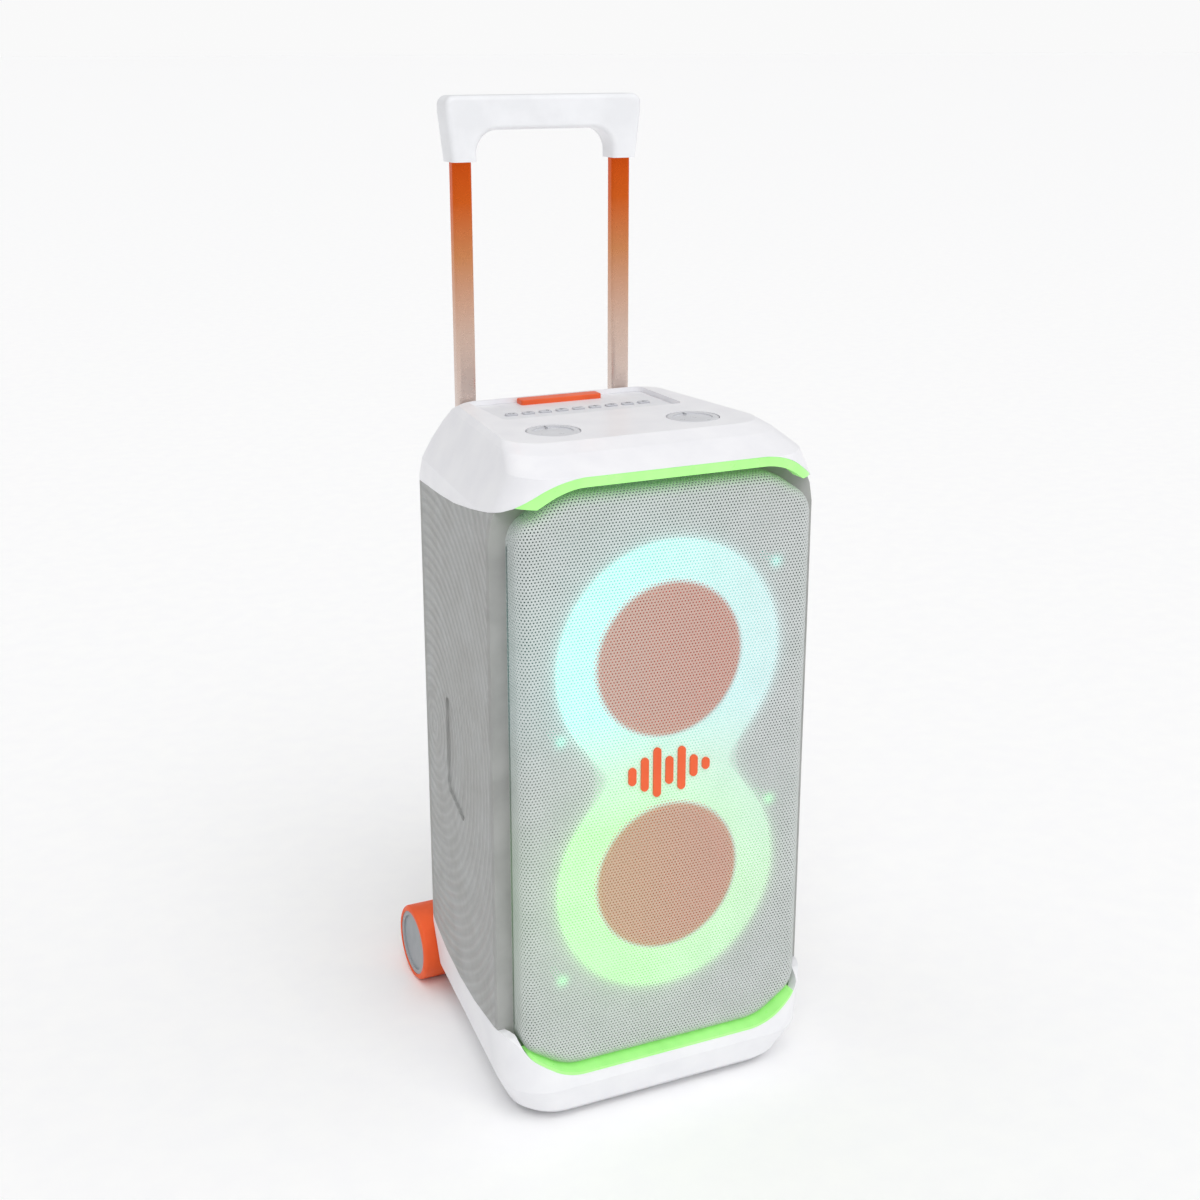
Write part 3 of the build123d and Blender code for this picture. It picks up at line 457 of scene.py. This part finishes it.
@dataclass(frozen=True)
class FadedAnodising(Finish):
    """Anodised aluminium, orange at the top and turning pale champagne towards the bottom, drawn along its
    length.
    """

    stops: tuple[tuple[float, str], ...] = ((0.0, "D8C8C0"), (0.30, "D3B5A4"), (0.62, "CF8858"),
                                            (0.84, "D4601E"), (1.0, "D2510F"))
    low_mm: float = 660.0
    high_mm: float = 899.0

    def colour(self, tree: bpy.types.NodeTree, place: bpy.types.NodeSocket) -> bpy.types.NodeSocket:
        """The orange turns paler towards the bottom."""
        height = add_node(tree, "ShaderNodeSeparateXYZ", {0: place}).outputs[2]
        share = add_node(tree, "ShaderNodeMapRange", {"Value": height, "From Min": self.low_mm * MM,
                                                      "From Max": self.high_mm * MM})
        ramp = add_node(tree, "ShaderNodeValToRGB", {"Fac": share.outputs[0]})
        elements = ramp.color_ramp.elements
        elements[0].position, elements[0].color = self.stops[0][0], linear(self.stops[0][1])
        elements[1].position, elements[1].color = self.stops[-1][0], linear(self.stops[-1][1])
        for position, code in self.stops[1:-1]:
            elements.new(position).color = linear(code)
        return ramp.outputs["Color"]

    def height(self, tree: bpy.types.NodeTree, place: bpy.types.NodeSocket) -> bpy.types.NodeSocket:
        """Fine lines along the tube from the drawing die."""
        drawn = add_node(tree, "ShaderNodeVectorMath", {0: place, 1: (1.0, 1.0, 0.02)}, operation="MULTIPLY")
        lines = add_node(tree, "ShaderNodeTexNoise", {"Vector": drawn.outputs[0],
                                                      "Scale": 1 / (self.grain_mm * MM), "Detail": 2.0})
        return calc(tree, "MULTIPLY", lines.outputs["Fac"], self.relief_mm * MM)


@dataclass(frozen=True)
class CoatedCone(Finish):
    """Pressed pulp cone with a coloured coat, ribbed in rings around each centre."""

    lift: float = 0.22

    def height(self, tree: bpy.types.NodeTree, place: bpy.types.NodeSocket) -> bpy.types.NodeSocket:
        """Pressed rings, 7 mm apart, on the pulp's grain."""
        grain = super().height(tree, place)
        ring = RingGlow(neck_blend_mm=0.001).distance(tree, place)
        wave = calc(tree, "SINE", calc(tree, "MULTIPLY", ring, 2 * math.pi / (7 * MM)))
        return calc(tree, "MULTIPLY_ADD", wave, 0.25 * MM, grain)

    def glow(self, tree: bpy.types.NodeTree, place: bpy.types.NodeSocket, surface: bpy.types.Node) -> None:
        """The ring's light catches the cone, warmer below."""
        height = add_node(tree, "ShaderNodeSeparateXYZ", {0: place}).outputs[2]
        share = add_node(tree, "ShaderNodeMapRange", {"Value": height, "From Min": 0.17, "From Max": 0.54})
        ramp = add_node(tree, "ShaderNodeValToRGB", {"Fac": share.outputs[0]})
        ramp.color_ramp.elements[0].color = linear("FF7C3E")
        ramp.color_ramp.elements[1].color = linear("F4806A")
        tree.links.new(ramp.outputs["Color"], surface.inputs["Emission Color"])
        surface.inputs["Emission Strength"].default_value = self.lift


class Finishes:
    """The finishes by name, each built once."""

    LIST = (
        # Injection moulded ABS with a satin polish: broad soft highlights on clean white.
        Finish("satin_white_abs", "F3F3F6", "EEEEF2", 0.34, 1.4, 0.012, coat=0.12),
        # Moulded skin cut with a ring pattern in the tool: each ripple catches a thin line of light.
        RippledMoulding("rippled_grey_abs", "B1B3B2", "A9AAA8", 0.5, 0.9, 0.03),
        # Spark-eroded tool texture: even and matt, with no clear reflection.
        Finish("textured_grey_abs", "A9AAA8", "9C9D9B", 0.6, 0.8, 0.05),
        # Punched steel under powder coat: a slight orange peel, and wires that carry the lights behind.
        PerforatedSteel("powder_coated_steel", "C9CDCC", "C3C8C6", 0.5, 0.7, 0.02),
        # Opal polycarbonate: the lamps behind it melt into one soft band.
        LitDiffuser("milky_diffuser", "A9BDB8", "A0B6B0", 0.45, 1.0, 0.01),
        # Extruded acrylic lit from its edge: an even line, a little brighter over each lamp.
        LitStrip("lit_light_guide", "A6E88C", "9CE082", 0.3, 1.0, 0.005),
        # Moulded clear pipes: a dark, glassy end when off, a small bright spot when lit.
        LitPipes("clear_light_pipe", "6F7977", "666F6D", 0.2, 1.0, 0.005),
        # Mass-coloured orange plastic from a polished tool: saturated, with a soft sheen.
        Finish("orange_abs", "F0612A", "E85820", 0.38, 1.0, 0.01, coat=0.1),
        # Pressed paper pulp with a coloured coat: matt and faintly fibrous.
        CoatedCone("coated_pulp_cone", "E8603A", "DC5430", 0.6, 1.2, 0.08),
        # Zinc plate over turned steel: bright grey with faint clouding.
        Finish("zinc_plated_steel", "C2C3C6", "B2B3B7", 0.32, 2.0, 0.01, metallic=1.0),
        # Sintered and ground ferrite: near-black, dull, slightly gritty.
        Finish("ferrite", "2B2B2E", "232326", 0.65, 0.5, 0.03),
        # Glass-filled nylon: dark grey with a dry, mottled skin.
        Finish("dark_moulding", "3A3B3D", "323335", 0.6, 0.7, 0.05),
        # Plain moulded carrier behind the grille: pale and matt, so that the holes look shallow.
        Finish("pale_baffle_moulding", "B4B9B7", "AAAFAD", 0.65, 0.9, 0.05),
        # Green solder mask over laminate: smooth, with a low gloss.
        Finish("solder_mask_board", "1F5A37", "18492C", 0.35, 1.5, 0.01),
        # Sawn fibreboard: brown, fibrous and fully matt.
        Finish("bare_fibreboard", "A58A66", "94794F", 0.8, 0.6, 0.08),
        # Fine silk texture on white plastic: a broad, weak highlight.
        Finish("silk_white_panel", "E6E7EA", "DFE0E4", 0.42, 0.7, 0.03),
        # Soft-touch lacquer: velvety, with hardly any highlight.
        Finish("soft_touch_button", "CBCCD1", "C2C3C9", 0.6, 0.5, 0.03),
        # Polished and lacquered plastic: a clear, narrow highlight at the edge.
        Finish("turned_dial", "D9DADE", "CFD0D5", 0.3, 1.0, 0.01, coat=0.2),
        # Anodised aluminium: the orange turns pale champagne towards the bottom of the tube.
        FadedAnodising("faded_anodised_aluminium", "D4601E", "D2510F", 0.28, 0.25, 0.004, metallic=0.9),
        # Black zinc on folded steel: dark metal with a thin oily sheen.
        Finish("black_zinc_steel", "44444A", "3A3A40", 0.4, 1.5, 0.02, metallic=1.0),
        # Satin white plastic worn smooth by hands.
        Finish("satin_white_grip", "EFF0F3", "E8E9EC", 0.36, 0.9, 0.02, coat=0.1),
        # Cast polyurethane: strong orange, semi-matt, slightly waxy.
        Finish("orange_tyre_rubber", "FA6224", "EE5618", 0.52, 0.5, 0.05),
        # Fine-textured grey moulding: matt, even.
        Finish("textured_hub_moulding", "A7ACB0", "9DA2A6", 0.5, 0.6, 0.05),
        # Moulded rubber: dull, with a soft grain.
        Finish("grey_foot_rubber", "6E6F72", "636467", 0.75, 0.5, 0.05),
        # Film shrunk over the cells: smooth, dark, with a soft gloss.
        Finish("cell_wrap_film", "2C2F3A", "262933", 0.3, 3.0, 0.02),
        # Black socket plastic from a polished tool: deep, with sharp glints.
        Finish("glossy_black_plastic", "1B1B1D", "161618", 0.25, 1.0, 0.01),
        # Pad-printed ink: flat grey, a hair above the surface.
        Finish("printed_icon_ink", "6D6F76", "64666D", 0.5, 0.6, 0.005),
    )

    def __init__(self) -> None:
        """Keeps the finishes until they are asked for."""
        self.known = {finish.name: finish for finish in self.LIST}
        self.built: dict[str, bpy.types.Material] = {}

    def get(self, name: str) -> bpy.types.Material:
        """Gives a finish's material, building it the first time.

        Args:
            name: The finish's name.

        Returns:
            The material.
        """
        if name not in self.built:
            self.built[name] = self.known[name].build()
        return self.built[name]


# ---- Shapes for the added pieces ----


def lathe(profile: tuple, steps: int) -> tuple[list, list]:
    """Turns a closed profile of (radius, depth) about the Y axis.

    Args:
        profile: The profile's points in millimetres.
        steps: How many times it is repeated around the axis.

    Returns:
        The points and faces.
    """
    points, count = [], len(profile)
    for step in range(steps):
        angle = 2 * math.pi * step / steps
        points += [(radius * math.cos(angle), depth, radius * math.sin(angle)) for radius, depth in profile]
    faces = []
    for step in range(steps):
        after = (step + 1) % steps
        for k in range(count):
            nxt = (k + 1) % count
            faces.append((step * count + k, after * count + k, after * count + nxt, step * count + nxt))
    return points, faces


def arc(radius: float, start_deg: float, end_deg: float, width: float, steps: int = 24) -> list:
    """A band along an arc, as a closed outline.

    Args:
        radius: The arc's middle radius in millimetres.
        start_deg: Where it starts.
        end_deg: Where it ends.
        width: The band's width.
        steps: How many parts it has.

    Returns:
        The outline's points.
    """
    angles = [math.radians(start_deg + (end_deg - start_deg) * k / steps) for k in range(steps + 1)]
    outer = [((radius + width / 2) * math.cos(a), (radius + width / 2) * math.sin(a)) for a in angles]
    inner = [((radius - width / 2) * math.cos(a), (radius - width / 2) * math.sin(a)) for a in angles]
    return outer + inner[::-1]


def plates(outlines: list, centre: tuple, level: float, height: float,
           scale: float = 1.0) -> tuple[list, list]:
    """Raises flat outlines into thin plates that face up.

    Args:
        outlines: Closed outlines in millimetres.
        centre: Where the outlines' origin lies, in millimetres.
        level: The plates' underside, in millimetres.
        height: Their thickness, in millimetres.
        scale: A factor for the outlines.

    Returns:
        The points in metres and the faces.
    """
    points, faces = [], []
    for outline in outlines:
        start, count = len(points), len(outline)
        for z in (level, level + height):
            points += [((centre[0] + x * scale) * MM, (centre[1] + y * scale) * MM, z * MM)
                       for x, y in outline]
        for k in range(count):
            nxt = (k + 1) % count
            faces.append((start + k, start + nxt, start + count + nxt, start + count + k))
        half = count // 2
        if count > 8:
            for k in range(half - 1):
                faces.append(tuple(start + count + i for i in (k, k + 1, count - 2 - k, count - 1 - k)))
        else:
            faces.append(tuple(start + count + i for i in range(count)))
    return points, faces


# ---- Sub-assemblies ----


@dataclass
class SubAssembly:
    """Some CAD nodes with their finishes, and the pieces that Blender adds."""

    finishes: Finishes
    dress_list: dict[str, str] = field(default_factory=dict)

    def dress(self) -> None:
        """Gives each listed CAD node its finish."""
        for node_name, finish in self.dress_list.items():
            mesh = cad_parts[node_name].data
            mesh.materials.clear()
            mesh.materials.append(self.finishes.get(finish))

    def add_piece(self, name: str, points: list, faces: list, finish: str, body: str, slot: str,
                  smooth_deg: float = 35.0) -> bpy.types.Object:
        """Makes a mesh piece that rides on a body.

        Args:
            name: The piece's name.
            points: Its vertices in metres.
            faces: Its faces as vertex numbers.
            finish: The finish's name.
            body: The body that it rides on.
            slot: A material slot's name, which is not used.
            smooth_deg: Edges flatter than this are shaded smooth.

        Returns:
            The new object.
        """
        mesh = bpy.data.meshes.new(name)
        mesh.from_pydata(points, [], faces)
        mesh.materials.append(self.finishes.get(finish))
        mesh.shade_smooth()
        mesh.set_sharp_from_angle(angle=math.radians(smooth_deg))
        piece = bpy.data.objects.new(name, mesh)
        bpy.context.scene.collection.objects.link(piece)
        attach(piece, body)
        LOG.info("%s rides on %s with %d faces", name, body, len(faces))
        return piece

    def build(self) -> None:
        """Dresses the CAD nodes."""
        self.dress()


@dataclass
class Shell(SubAssembly):
    """Caps, side skins, rear skin and frame."""

    def __post_init__(self) -> None:
        """Names the shell's nodes and finishes."""
        self.dress_list = {
            "top_cap": "satin_white_abs", "base_cap": "satin_white_abs",
            "side_panel_left": "rippled_grey_abs", "side_panel_right": "rippled_grey_abs",
            "rear_panel": "textured_grey_abs",
            "front_frame": "textured_grey_abs", "battery_door": "textured_grey_abs",
            "cabinet": "bare_fibreboard", "baffle": "pale_baffle_moulding", "bass_port": "dark_moulding",
            "feet": "grey_foot_rubber", "badge": "orange_abs",
        }


@dataclass
class GrilleSheet(SubAssembly):
    """The punched front sheet: a hexagonal pattern of holes over a flat face that rolls back at its edges."""

    pitch: float = 3.3
    hole: float = 1.55
    gauge: float = 0.9
    half_width: float = 150.6
    top: float = 632.5
    bottom: float = 60.0
    corner_width: float = 43.6
    corner_height: float = 30.0
    shallow_radius: float = 28.0
    steep_radius: float = 55.0
    roll: float = 12.0
    arc_steps: int = 10
    plain_edge: float = 1.5

    def outline(self, inset: float) -> np.ndarray:
        """Closed outline of the sheet, drawn inward.

        Args:
            inset: How far inside the rim it lies, in millimetres.

        Returns:
            Points around the outline, evenly dense, in millimetres.
        """
        half, tip = self.half_width, self.half_width - self.corner_width
        right = [(tip, self.bottom, self.steep_radius),
                 (half, self.bottom + self.corner_height, self.shallow_radius),
                 (half, self.top - self.corner_height, self.shallow_radius),
                 (tip, self.top, self.steep_radius)]
        corners = right + [(-x, z, r) for x, z, r in reversed(right)]
        line = []
        count = len(corners)
        for i, (x, z, radius) in enumerate(corners):
            here = Vector((x, z))
            back = (Vector(corners[i - 1][:2]) - here).normalized()
            onward = (Vector(corners[(i + 1) % count][:2]) - here).normalized()
            half_turn = (math.pi - back.angle(onward)) / 2
            bisector = (back + onward).normalized()
            centre = here + bisector * (radius / math.cos(half_turn))
            start = math.atan2(-bisector.y, -bisector.x) - half_turn
            for step in range(self.arc_steps + 1):
                angle = start + 2 * half_turn * step / self.arc_steps
                reach = radius - inset
                line.append((centre.x + reach * math.cos(angle), centre.y + reach * math.sin(angle)))
        return np.array(line)

    def fold(self, flat: np.ndarray, edge: np.ndarray, face_y: float, lift: float) -> np.ndarray:
        """Rolls a flat pattern back over the tray's edge.

        Args:
            flat: Pattern points in the face's plane, in millimetres.
            edge: Outline where the face begins to roll.
            face_y: The face's depth.
            lift: How far behind the outer surface the points lie.

        Returns:
            The points in space, in metres.
        """
        after = np.roll(edge, -1, axis=0)
        side = after - edge
        length = np.maximum((side ** 2).sum(1), 1e-9)
        best = np.full(len(flat), 1e9)
        foot = np.zeros_like(flat)
        for a, s, size, b in zip(edge, side, length, after):
            share = np.clip(((flat - a) @ s) / size, 0, 1)
            near = a + share[:, None] * s
            gap = np.hypot(*(flat - near).T)
            closer = gap < best
            best[closer] = gap[closer]
            foot[closer] = near[closer]
        inside = self.within(flat, edge)
        away = np.where(inside, 0.0, best)
        normal = (flat - foot) / np.maximum(best, 1e-9)[:, None]
        angle = np.minimum(away / self.roll, math.pi / 2)
        radius = self.roll - lift
        wall = np.maximum(away - self.roll * math.pi / 2, 0.0)
        out = np.where(inside[:, None], flat, foot + normal * (radius * np.sin(angle))[:, None])
        depth = face_y + self.roll - radius * np.cos(angle) + wall
        return np.stack([out[:, 0], depth, out[:, 1]], 1) * MM

    def build(self) -> None:
        """Punches the sheet, folds it, and puts it in the CAD tray's place."""
        low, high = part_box("front_grille")
        face_y, rim_y = low[1] / MM, high[1] / MM
        edge = self.outline(self.roll)
        wall_length = self.roll * math.pi / 2 + (rim_y - face_y - self.roll)
        reach_x = edge[:, 0].max() + wall_length
        low_z, high_z = edge[:, 1].min() - wall_length, edge[:, 1].max() + wall_length
        row_step = self.pitch * math.sqrt(3) / 2
        rows = int((high_z - low_z) / row_step) + 1
        columns = int(2 * reach_x / self.pitch) + 1
        middle_z = (low_z + high_z) / 2
        centres = []
        for row in range(rows):
            shift = self.pitch / 2 if row % 2 else 0.0
            for column in range(columns):
                centres.append(((column - columns / 2) * self.pitch + shift,
                                middle_z + (row - rows / 2) * row_step))
        centres = np.array(centres)
        limit = self.outline(self.roll - (wall_length - self.plain_edge))
        near = self.within(centres, limit)
        centres = centres[near]
        turn = np.radians(30 + 60 * np.arange(6))
        cell = np.stack([np.cos(turn), np.sin(turn)], 1)
        outer = centres[:, None] + cell * (self.pitch / math.sqrt(3))
        inner = centres[:, None] + cell * (self.hole / math.sqrt(3))
        front_outer = self.fold(outer.reshape(-1, 2), edge, face_y, 0.0)
        front_inner = self.fold(inner.reshape(-1, 2), edge, face_y, 0.0)
        back_inner = self.fold(inner.reshape(-1, 2), edge, face_y, self.gauge)
        points = np.concatenate([front_outer, front_inner, back_inner])
        points[:, 1] = np.minimum(points[:, 1], rim_y * MM)
        total = len(front_outer)
        faces = []
        for start in range(0, total, 6):
            for k in range(6):
                a, b = start + k, start + (k + 1) % 6
                faces.append((a, b, b + total, a + total))
                faces.append((a + total, b + total, b + 2 * total, a + 2 * total))
        sheet = self.add_piece("grille_sheet", points.tolist(), faces, "powder_coated_steel",
                               Ride.CHASSIS.value, "grille_mesh", 60.0)
        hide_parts("front_grille")
        self.add_rim(rim_y)

    def within(self, points: np.ndarray, edge: np.ndarray) -> np.ndarray:
        """Tells which points lie inside a closed outline.

        Args:
            points: The points to test.
            edge: The outline.

        Returns:
            True for each point inside.
        """
        inside = np.zeros(len(points), dtype=bool)
        for a, b in zip(edge, np.roll(edge, -1, axis=0)):
            crosses = (a[1] > points[:, 1]) != (b[1] > points[:, 1])
            with np.errstate(divide="ignore", invalid="ignore"):
                at = a[0] + (points[:, 1] - a[1]) * (b[0] - a[0]) / (b[1] - a[1])
            inside ^= crosses & (points[:, 0] < at)
        return inside

    def add_rim(self, rim_y: float) -> None:
        """Adds the unpunched hem around the tray's open side.

        Args:
            rim_y: Depth of the open side, in millimetres.
        """
        loops = []
        hem_height, hem_width = 4.0, 1.4
        for inset, y in ((0.0, rim_y - hem_height), (0.0, rim_y), (hem_width, rim_y),
                         (hem_width, rim_y - hem_height)):
            line = self.outline(inset)
            loops.append(np.stack([line[:, 0], np.full(len(line), y), line[:, 1]], 1) * MM)
        count = len(loops[0])
        points = np.concatenate(loops).tolist()
        faces = []
        for ring in range(4):
            for k in range(count):
                a, b = ring * count + k, ring * count + (k + 1) % count
                c, d = (ring + 1) % 4 * count + (k + 1) % count, (ring + 1) % 4 * count + k
                faces.append((a, b, c, d))
        self.add_piece("grille_hem", points, faces, "powder_coated_steel", Ride.CHASSIS.value, "grille_mesh")


@dataclass
class Lights(SubAssembly):
    """Ring light, light strips and small lights."""

    def __post_init__(self) -> None:
        """Names the lights' nodes and finishes."""
        self.dress_list = {
            "ring_diffuser": "milky_diffuser", "ring_housing": "silk_white_panel",
            "led_board": "solder_mask_board", "light_strip_top": "lit_light_guide",
            "light_strip_bottom": "lit_light_guide", "strobe_light_pipes": "clear_light_pipe",
        }


@dataclass
class Drivers(SubAssembly):
    """Woofers and tweeters."""

    HEIGHTS_MM = {"upper": 465.7, "lower": 245.3}
    TRIM_PROFILE_MM = ((77.0, -175.5), (76.6, -176.2), (75.8, -176.0), (74.6, -173.0), (71.5, -168.0),
                       (67.8, -163.4), (67.0, -162.4), (68.4, -162.3), (72.6, -167.0), (75.8, -172.5))
    TRIM_STEPS = 96

    def __post_init__(self) -> None:
        """Names the drivers' nodes and finishes."""
        for level in ("upper", "lower"):
            self.dress_list[f"woofer_basket_{level}"] = "coated_pulp_cone"
            self.dress_list[f"woofer_magnet_{level}"] = "ferrite"
            self.dress_list[f"woofer_cone_{level}"] = "coated_pulp_cone"
            self.dress_list[f"woofer_surround_{level}"] = "coated_pulp_cone"
        for side in ("left", "right"):
            self.dress_list[f"tweeter_{side}"] = "silk_white_panel"

    def build(self) -> None:
        """Dresses the drivers and adds the trim that leads from the ring light in to each cone."""
        self.dress()
        for level, z_mm in self.HEIGHTS_MM.items():
            points, faces = lathe(self.TRIM_PROFILE_MM, self.TRIM_STEPS)
            placed = [(x * MM, y * MM, (z + z_mm) * MM) for x, y, z in points]
            self.add_piece(f"woofer_trim_{level}", placed, faces, "coated_pulp_cone", Ride.CHASSIS.value,
                           "cone_paper")


@dataclass
class Controls(SubAssembly):
    """The panel on the plateau, with its buttons and dials."""

    def __post_init__(self) -> None:
        """Names the controls' nodes and finishes."""
        self.dress_list = {"control_panel": "silk_white_panel", "control_board": "solder_mask_board",
                           "accent_bar": "orange_abs", "dial_left": "turned_dial",
                           "dial_right": "turned_dial"}
        for number in range(1, 10):
            self.dress_list[f"button_{number}"] = "soft_touch_button"

    ICON_SCALE = 1.25
    ICON_THICKNESS_MM = 0.07
    MARK = [(-0.6, 13.0), (0.6, 13.0), (0.6, 21.0), (-0.6, 21.0)]
    MARK_THICKNESS_MM = 0.1
    SUNK_MM = 0.02
    ICONS = (
        [arc(2.2, 120, 420, 0.6), [(-0.3, 0.6), (0.3, 0.6), (0.3, 2.8), (-0.3, 2.8)]],
        [arc(1.1, 0, 360, 0.5), [(0.9, -0.3), (2.9, -0.3), (2.9, 0.3), (0.9, 0.3)]],
        [arc(2.6, -50, 50, 0.5), arc(1.4, -50, 50, 0.5)],
        [[(-1.6, -2.0), (1.9, 0.0), (-1.6, 2.0)]],
        [[(-2.4, -0.35), (2.4, -0.35), (2.4, 0.35), (-2.4, 0.35)]],
        [[(-2.4, -0.35), (2.4, -0.35), (2.4, 0.35), (-2.4, 0.35)],
         [(-0.35, -2.4), (0.35, -2.4), (0.35, 2.4), (-0.35, 2.4)]],
        [arc(2.2, 0, 360, 0.5), arc(0.5, 0, 360, 0.8)],
        [[(-2.2, -1.6), (-1.2, -1.6), (-1.2, 0.2), (-2.2, 0.2)],
         [(-0.5, -1.6), (0.5, -1.6), (0.5, 2.0), (-0.5, 2.0)],
         [(1.2, -1.6), (2.2, -1.6), (2.2, 1.0), (1.2, 1.0)]],
        [[(-2.0, -1.8), (2.0, -1.8), (2.0, -1.2), (-2.0, -1.2)],
         [(-1.6, 0.0), (1.6, 0.0), (0.0, 2.2)]],
    )

    def build(self) -> None:
        """Dresses the controls and prints generic icons on the buttons and marks at the dials."""
        self.dress()
        for number, icon in enumerate(self.ICONS, 1):
            low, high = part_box(f"button_{number}")
            centre = ((low[0] + high[0]) / 2 / MM, (low[1] + high[1]) / 2 / MM)
            points, faces = plates(icon, centre, high[2] / MM - self.SUNK_MM,
                                   self.ICON_THICKNESS_MM, self.ICON_SCALE)
            self.add_piece(f"button_icon_{number}", points, faces, "printed_icon_ink", f"button_{number}",
                           "button_plastic")
        for ride in (Ride.DIAL_LEFT, Ride.DIAL_RIGHT):
            low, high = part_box(ride.value)
            centre = ((low[0] + high[0]) / 2 / MM, (low[1] + high[1]) / 2 / MM)
            points, faces = plates([self.MARK], centre, high[2] / MM - self.SUNK_MM, self.MARK_THICKNESS_MM)
            self.add_piece(f"{ride.value}_mark", points, faces, "printed_icon_ink", ride.value,
                           "dial_plastic")


@dataclass
class Handle(SubAssembly):
    """Guides, tubes, grip and its button."""

    def __post_init__(self) -> None:
        """Names the handle's nodes and finishes."""
        self.dress_list = {"handle_grip": "satin_white_grip", "release_button": "soft_touch_button"}
        for side in ("left", "right"):
            self.dress_list[f"handle_tube_{side}"] = "faded_anodised_aluminium"
            self.dress_list[f"handle_guide_{side}"] = "black_zinc_steel"


@dataclass
class Wheels(SubAssembly):
    """Tyres, hubs, axle and carriage."""

    def __post_init__(self) -> None:
        """Names the running gear's nodes and finishes."""
        self.dress_list = {"axle": "zinc_plated_steel", "wheel_carriage": "dark_moulding"}
        for side in ("left", "right"):
            self.dress_list[f"tyre_{side}"] = "orange_tyre_rubber"
            self.dress_list[f"hub_{side}"] = "textured_hub_moulding"


@dataclass
class RearSide(SubAssembly):
    """Sockets, battery and amplifier."""

    def __post_init__(self) -> None:
        """Names the rear side's nodes and finishes."""
        self.dress_list = {"io_plate": "dark_moulding", "io_jacks": "glossy_black_plastic",
                           "ac_inlet": "glossy_black_plastic", "battery_pack": "cell_wrap_film",
                           "amplifier_board": "solder_mask_board"}


@dataclass
class Studio:
    """Pale floor, soft lights and the camera."""

    camera_place: tuple[float, float, float] = (-0.7145, -1.5230, 1.0112)
    camera_tilt_deg: float = 72.33
    camera_heading_deg: float = -25.48
    lens_mm: float = 52.31
    sensor_mm: float = 36.0
    lens_shift: tuple[float, float] = (0.0028, -0.0036)
    floor_size: float = 240.0
    ambient: float = 0.5
    backdrop: float = 0.95

    def add_floor(self) -> None:
        """Adds the pale floor."""
        bpy.ops.mesh.primitive_plane_add(size=self.floor_size)
        floor = bpy.context.object
        floor.name = "studio_floor"
        finish = Finish("matt_studio_paper", "FDFDFD", "FBFBFC", 0.95, 3.0, 0.01)
        floor.data.materials.append(finish.build())

    def add_lamp(self, name: str, place: tuple[float, float, float], spread_deg: float, power: float) -> None:
        """Adds a broad, distant lamp that shines on the speaker.

        Args:
            name: The lamp's name.
            place: The side that its light comes from.
            spread_deg: How broad it looks from the speaker.
            power: Its irradiance, in watts per square metre.
        """
        data = bpy.data.lights.new(name, "SUN")
        data.angle = math.radians(spread_deg)
        data.energy = power
        lamp = bpy.data.objects.new(name, data)
        lamp.rotation_euler = Vector(place).to_track_quat("Z", "Y").to_euler()
        bpy.context.scene.collection.objects.link(lamp)

    def add_world(self) -> None:
        """Surrounds the speaker with even light, and shows the camera a white backdrop."""
        world = bpy.data.worlds.new("studio_world")
        world.use_nodes = True
        tree = world.node_tree
        tree.nodes.clear()
        white = (1.0, 1.0, 1.0, 1.0)
        lit = add_node(tree, "ShaderNodeBackground", {"Color": white, "Strength": self.ambient})
        seen = add_node(tree, "ShaderNodeBackground", {"Color": white, "Strength": self.backdrop})
        by_eye = add_node(tree, "ShaderNodeLightPath").outputs["Is Camera Ray"]
        mixed = add_node(tree, "ShaderNodeMixShader", {0: by_eye, 1: lit.outputs[0], 2: seen.outputs[0]})
        add_node(tree, "ShaderNodeOutputWorld", {"Surface": mixed.outputs[0]})
        bpy.context.scene.world = world

    def add_camera(self) -> None:
        """Adds the camera."""
        data = bpy.data.cameras.new("camera")
        data.lens = self.lens_mm
        data.sensor_width = self.sensor_mm
        data.shift_x, data.shift_y = self.lens_shift
        camera = bpy.data.objects.new("camera", data)
        camera.location = self.camera_place
        camera.rotation_euler = (math.radians(self.camera_tilt_deg), 0.0,
                                 math.radians(self.camera_heading_deg))
        bpy.context.scene.collection.objects.link(camera)
        bpy.context.scene.camera = camera

    def build(self) -> None:
        """Builds the studio."""
        self.add_camera()
        self.add_floor()
        self.add_lamp("key_lamp", (-0.15, -1.0, 1.15), 50.0, 1.3)
        self.add_lamp("fill_lamp", (1.0, -0.7, 0.7), 60.0, 0.35)
        self.add_lamp("top_lamp", (-0.2, 0.3, 1.0), 60.0, 0.45)
        self.add_world()
        bpy.context.scene.view_settings.view_transform = "Standard"


def main() -> None:
    """Builds the studio and each sub-assembly."""
    logging.basicConfig(level=logging.INFO)
    Studio().build()
    finishes = Finishes()
    for part in (Shell, GrilleSheet, Lights, Drivers, Controls, Handle, Wheels, RearSide):
        part(finishes).build()
        LOG.info("%s is done", part.__name__)


if __name__ == "__main__":
    main()
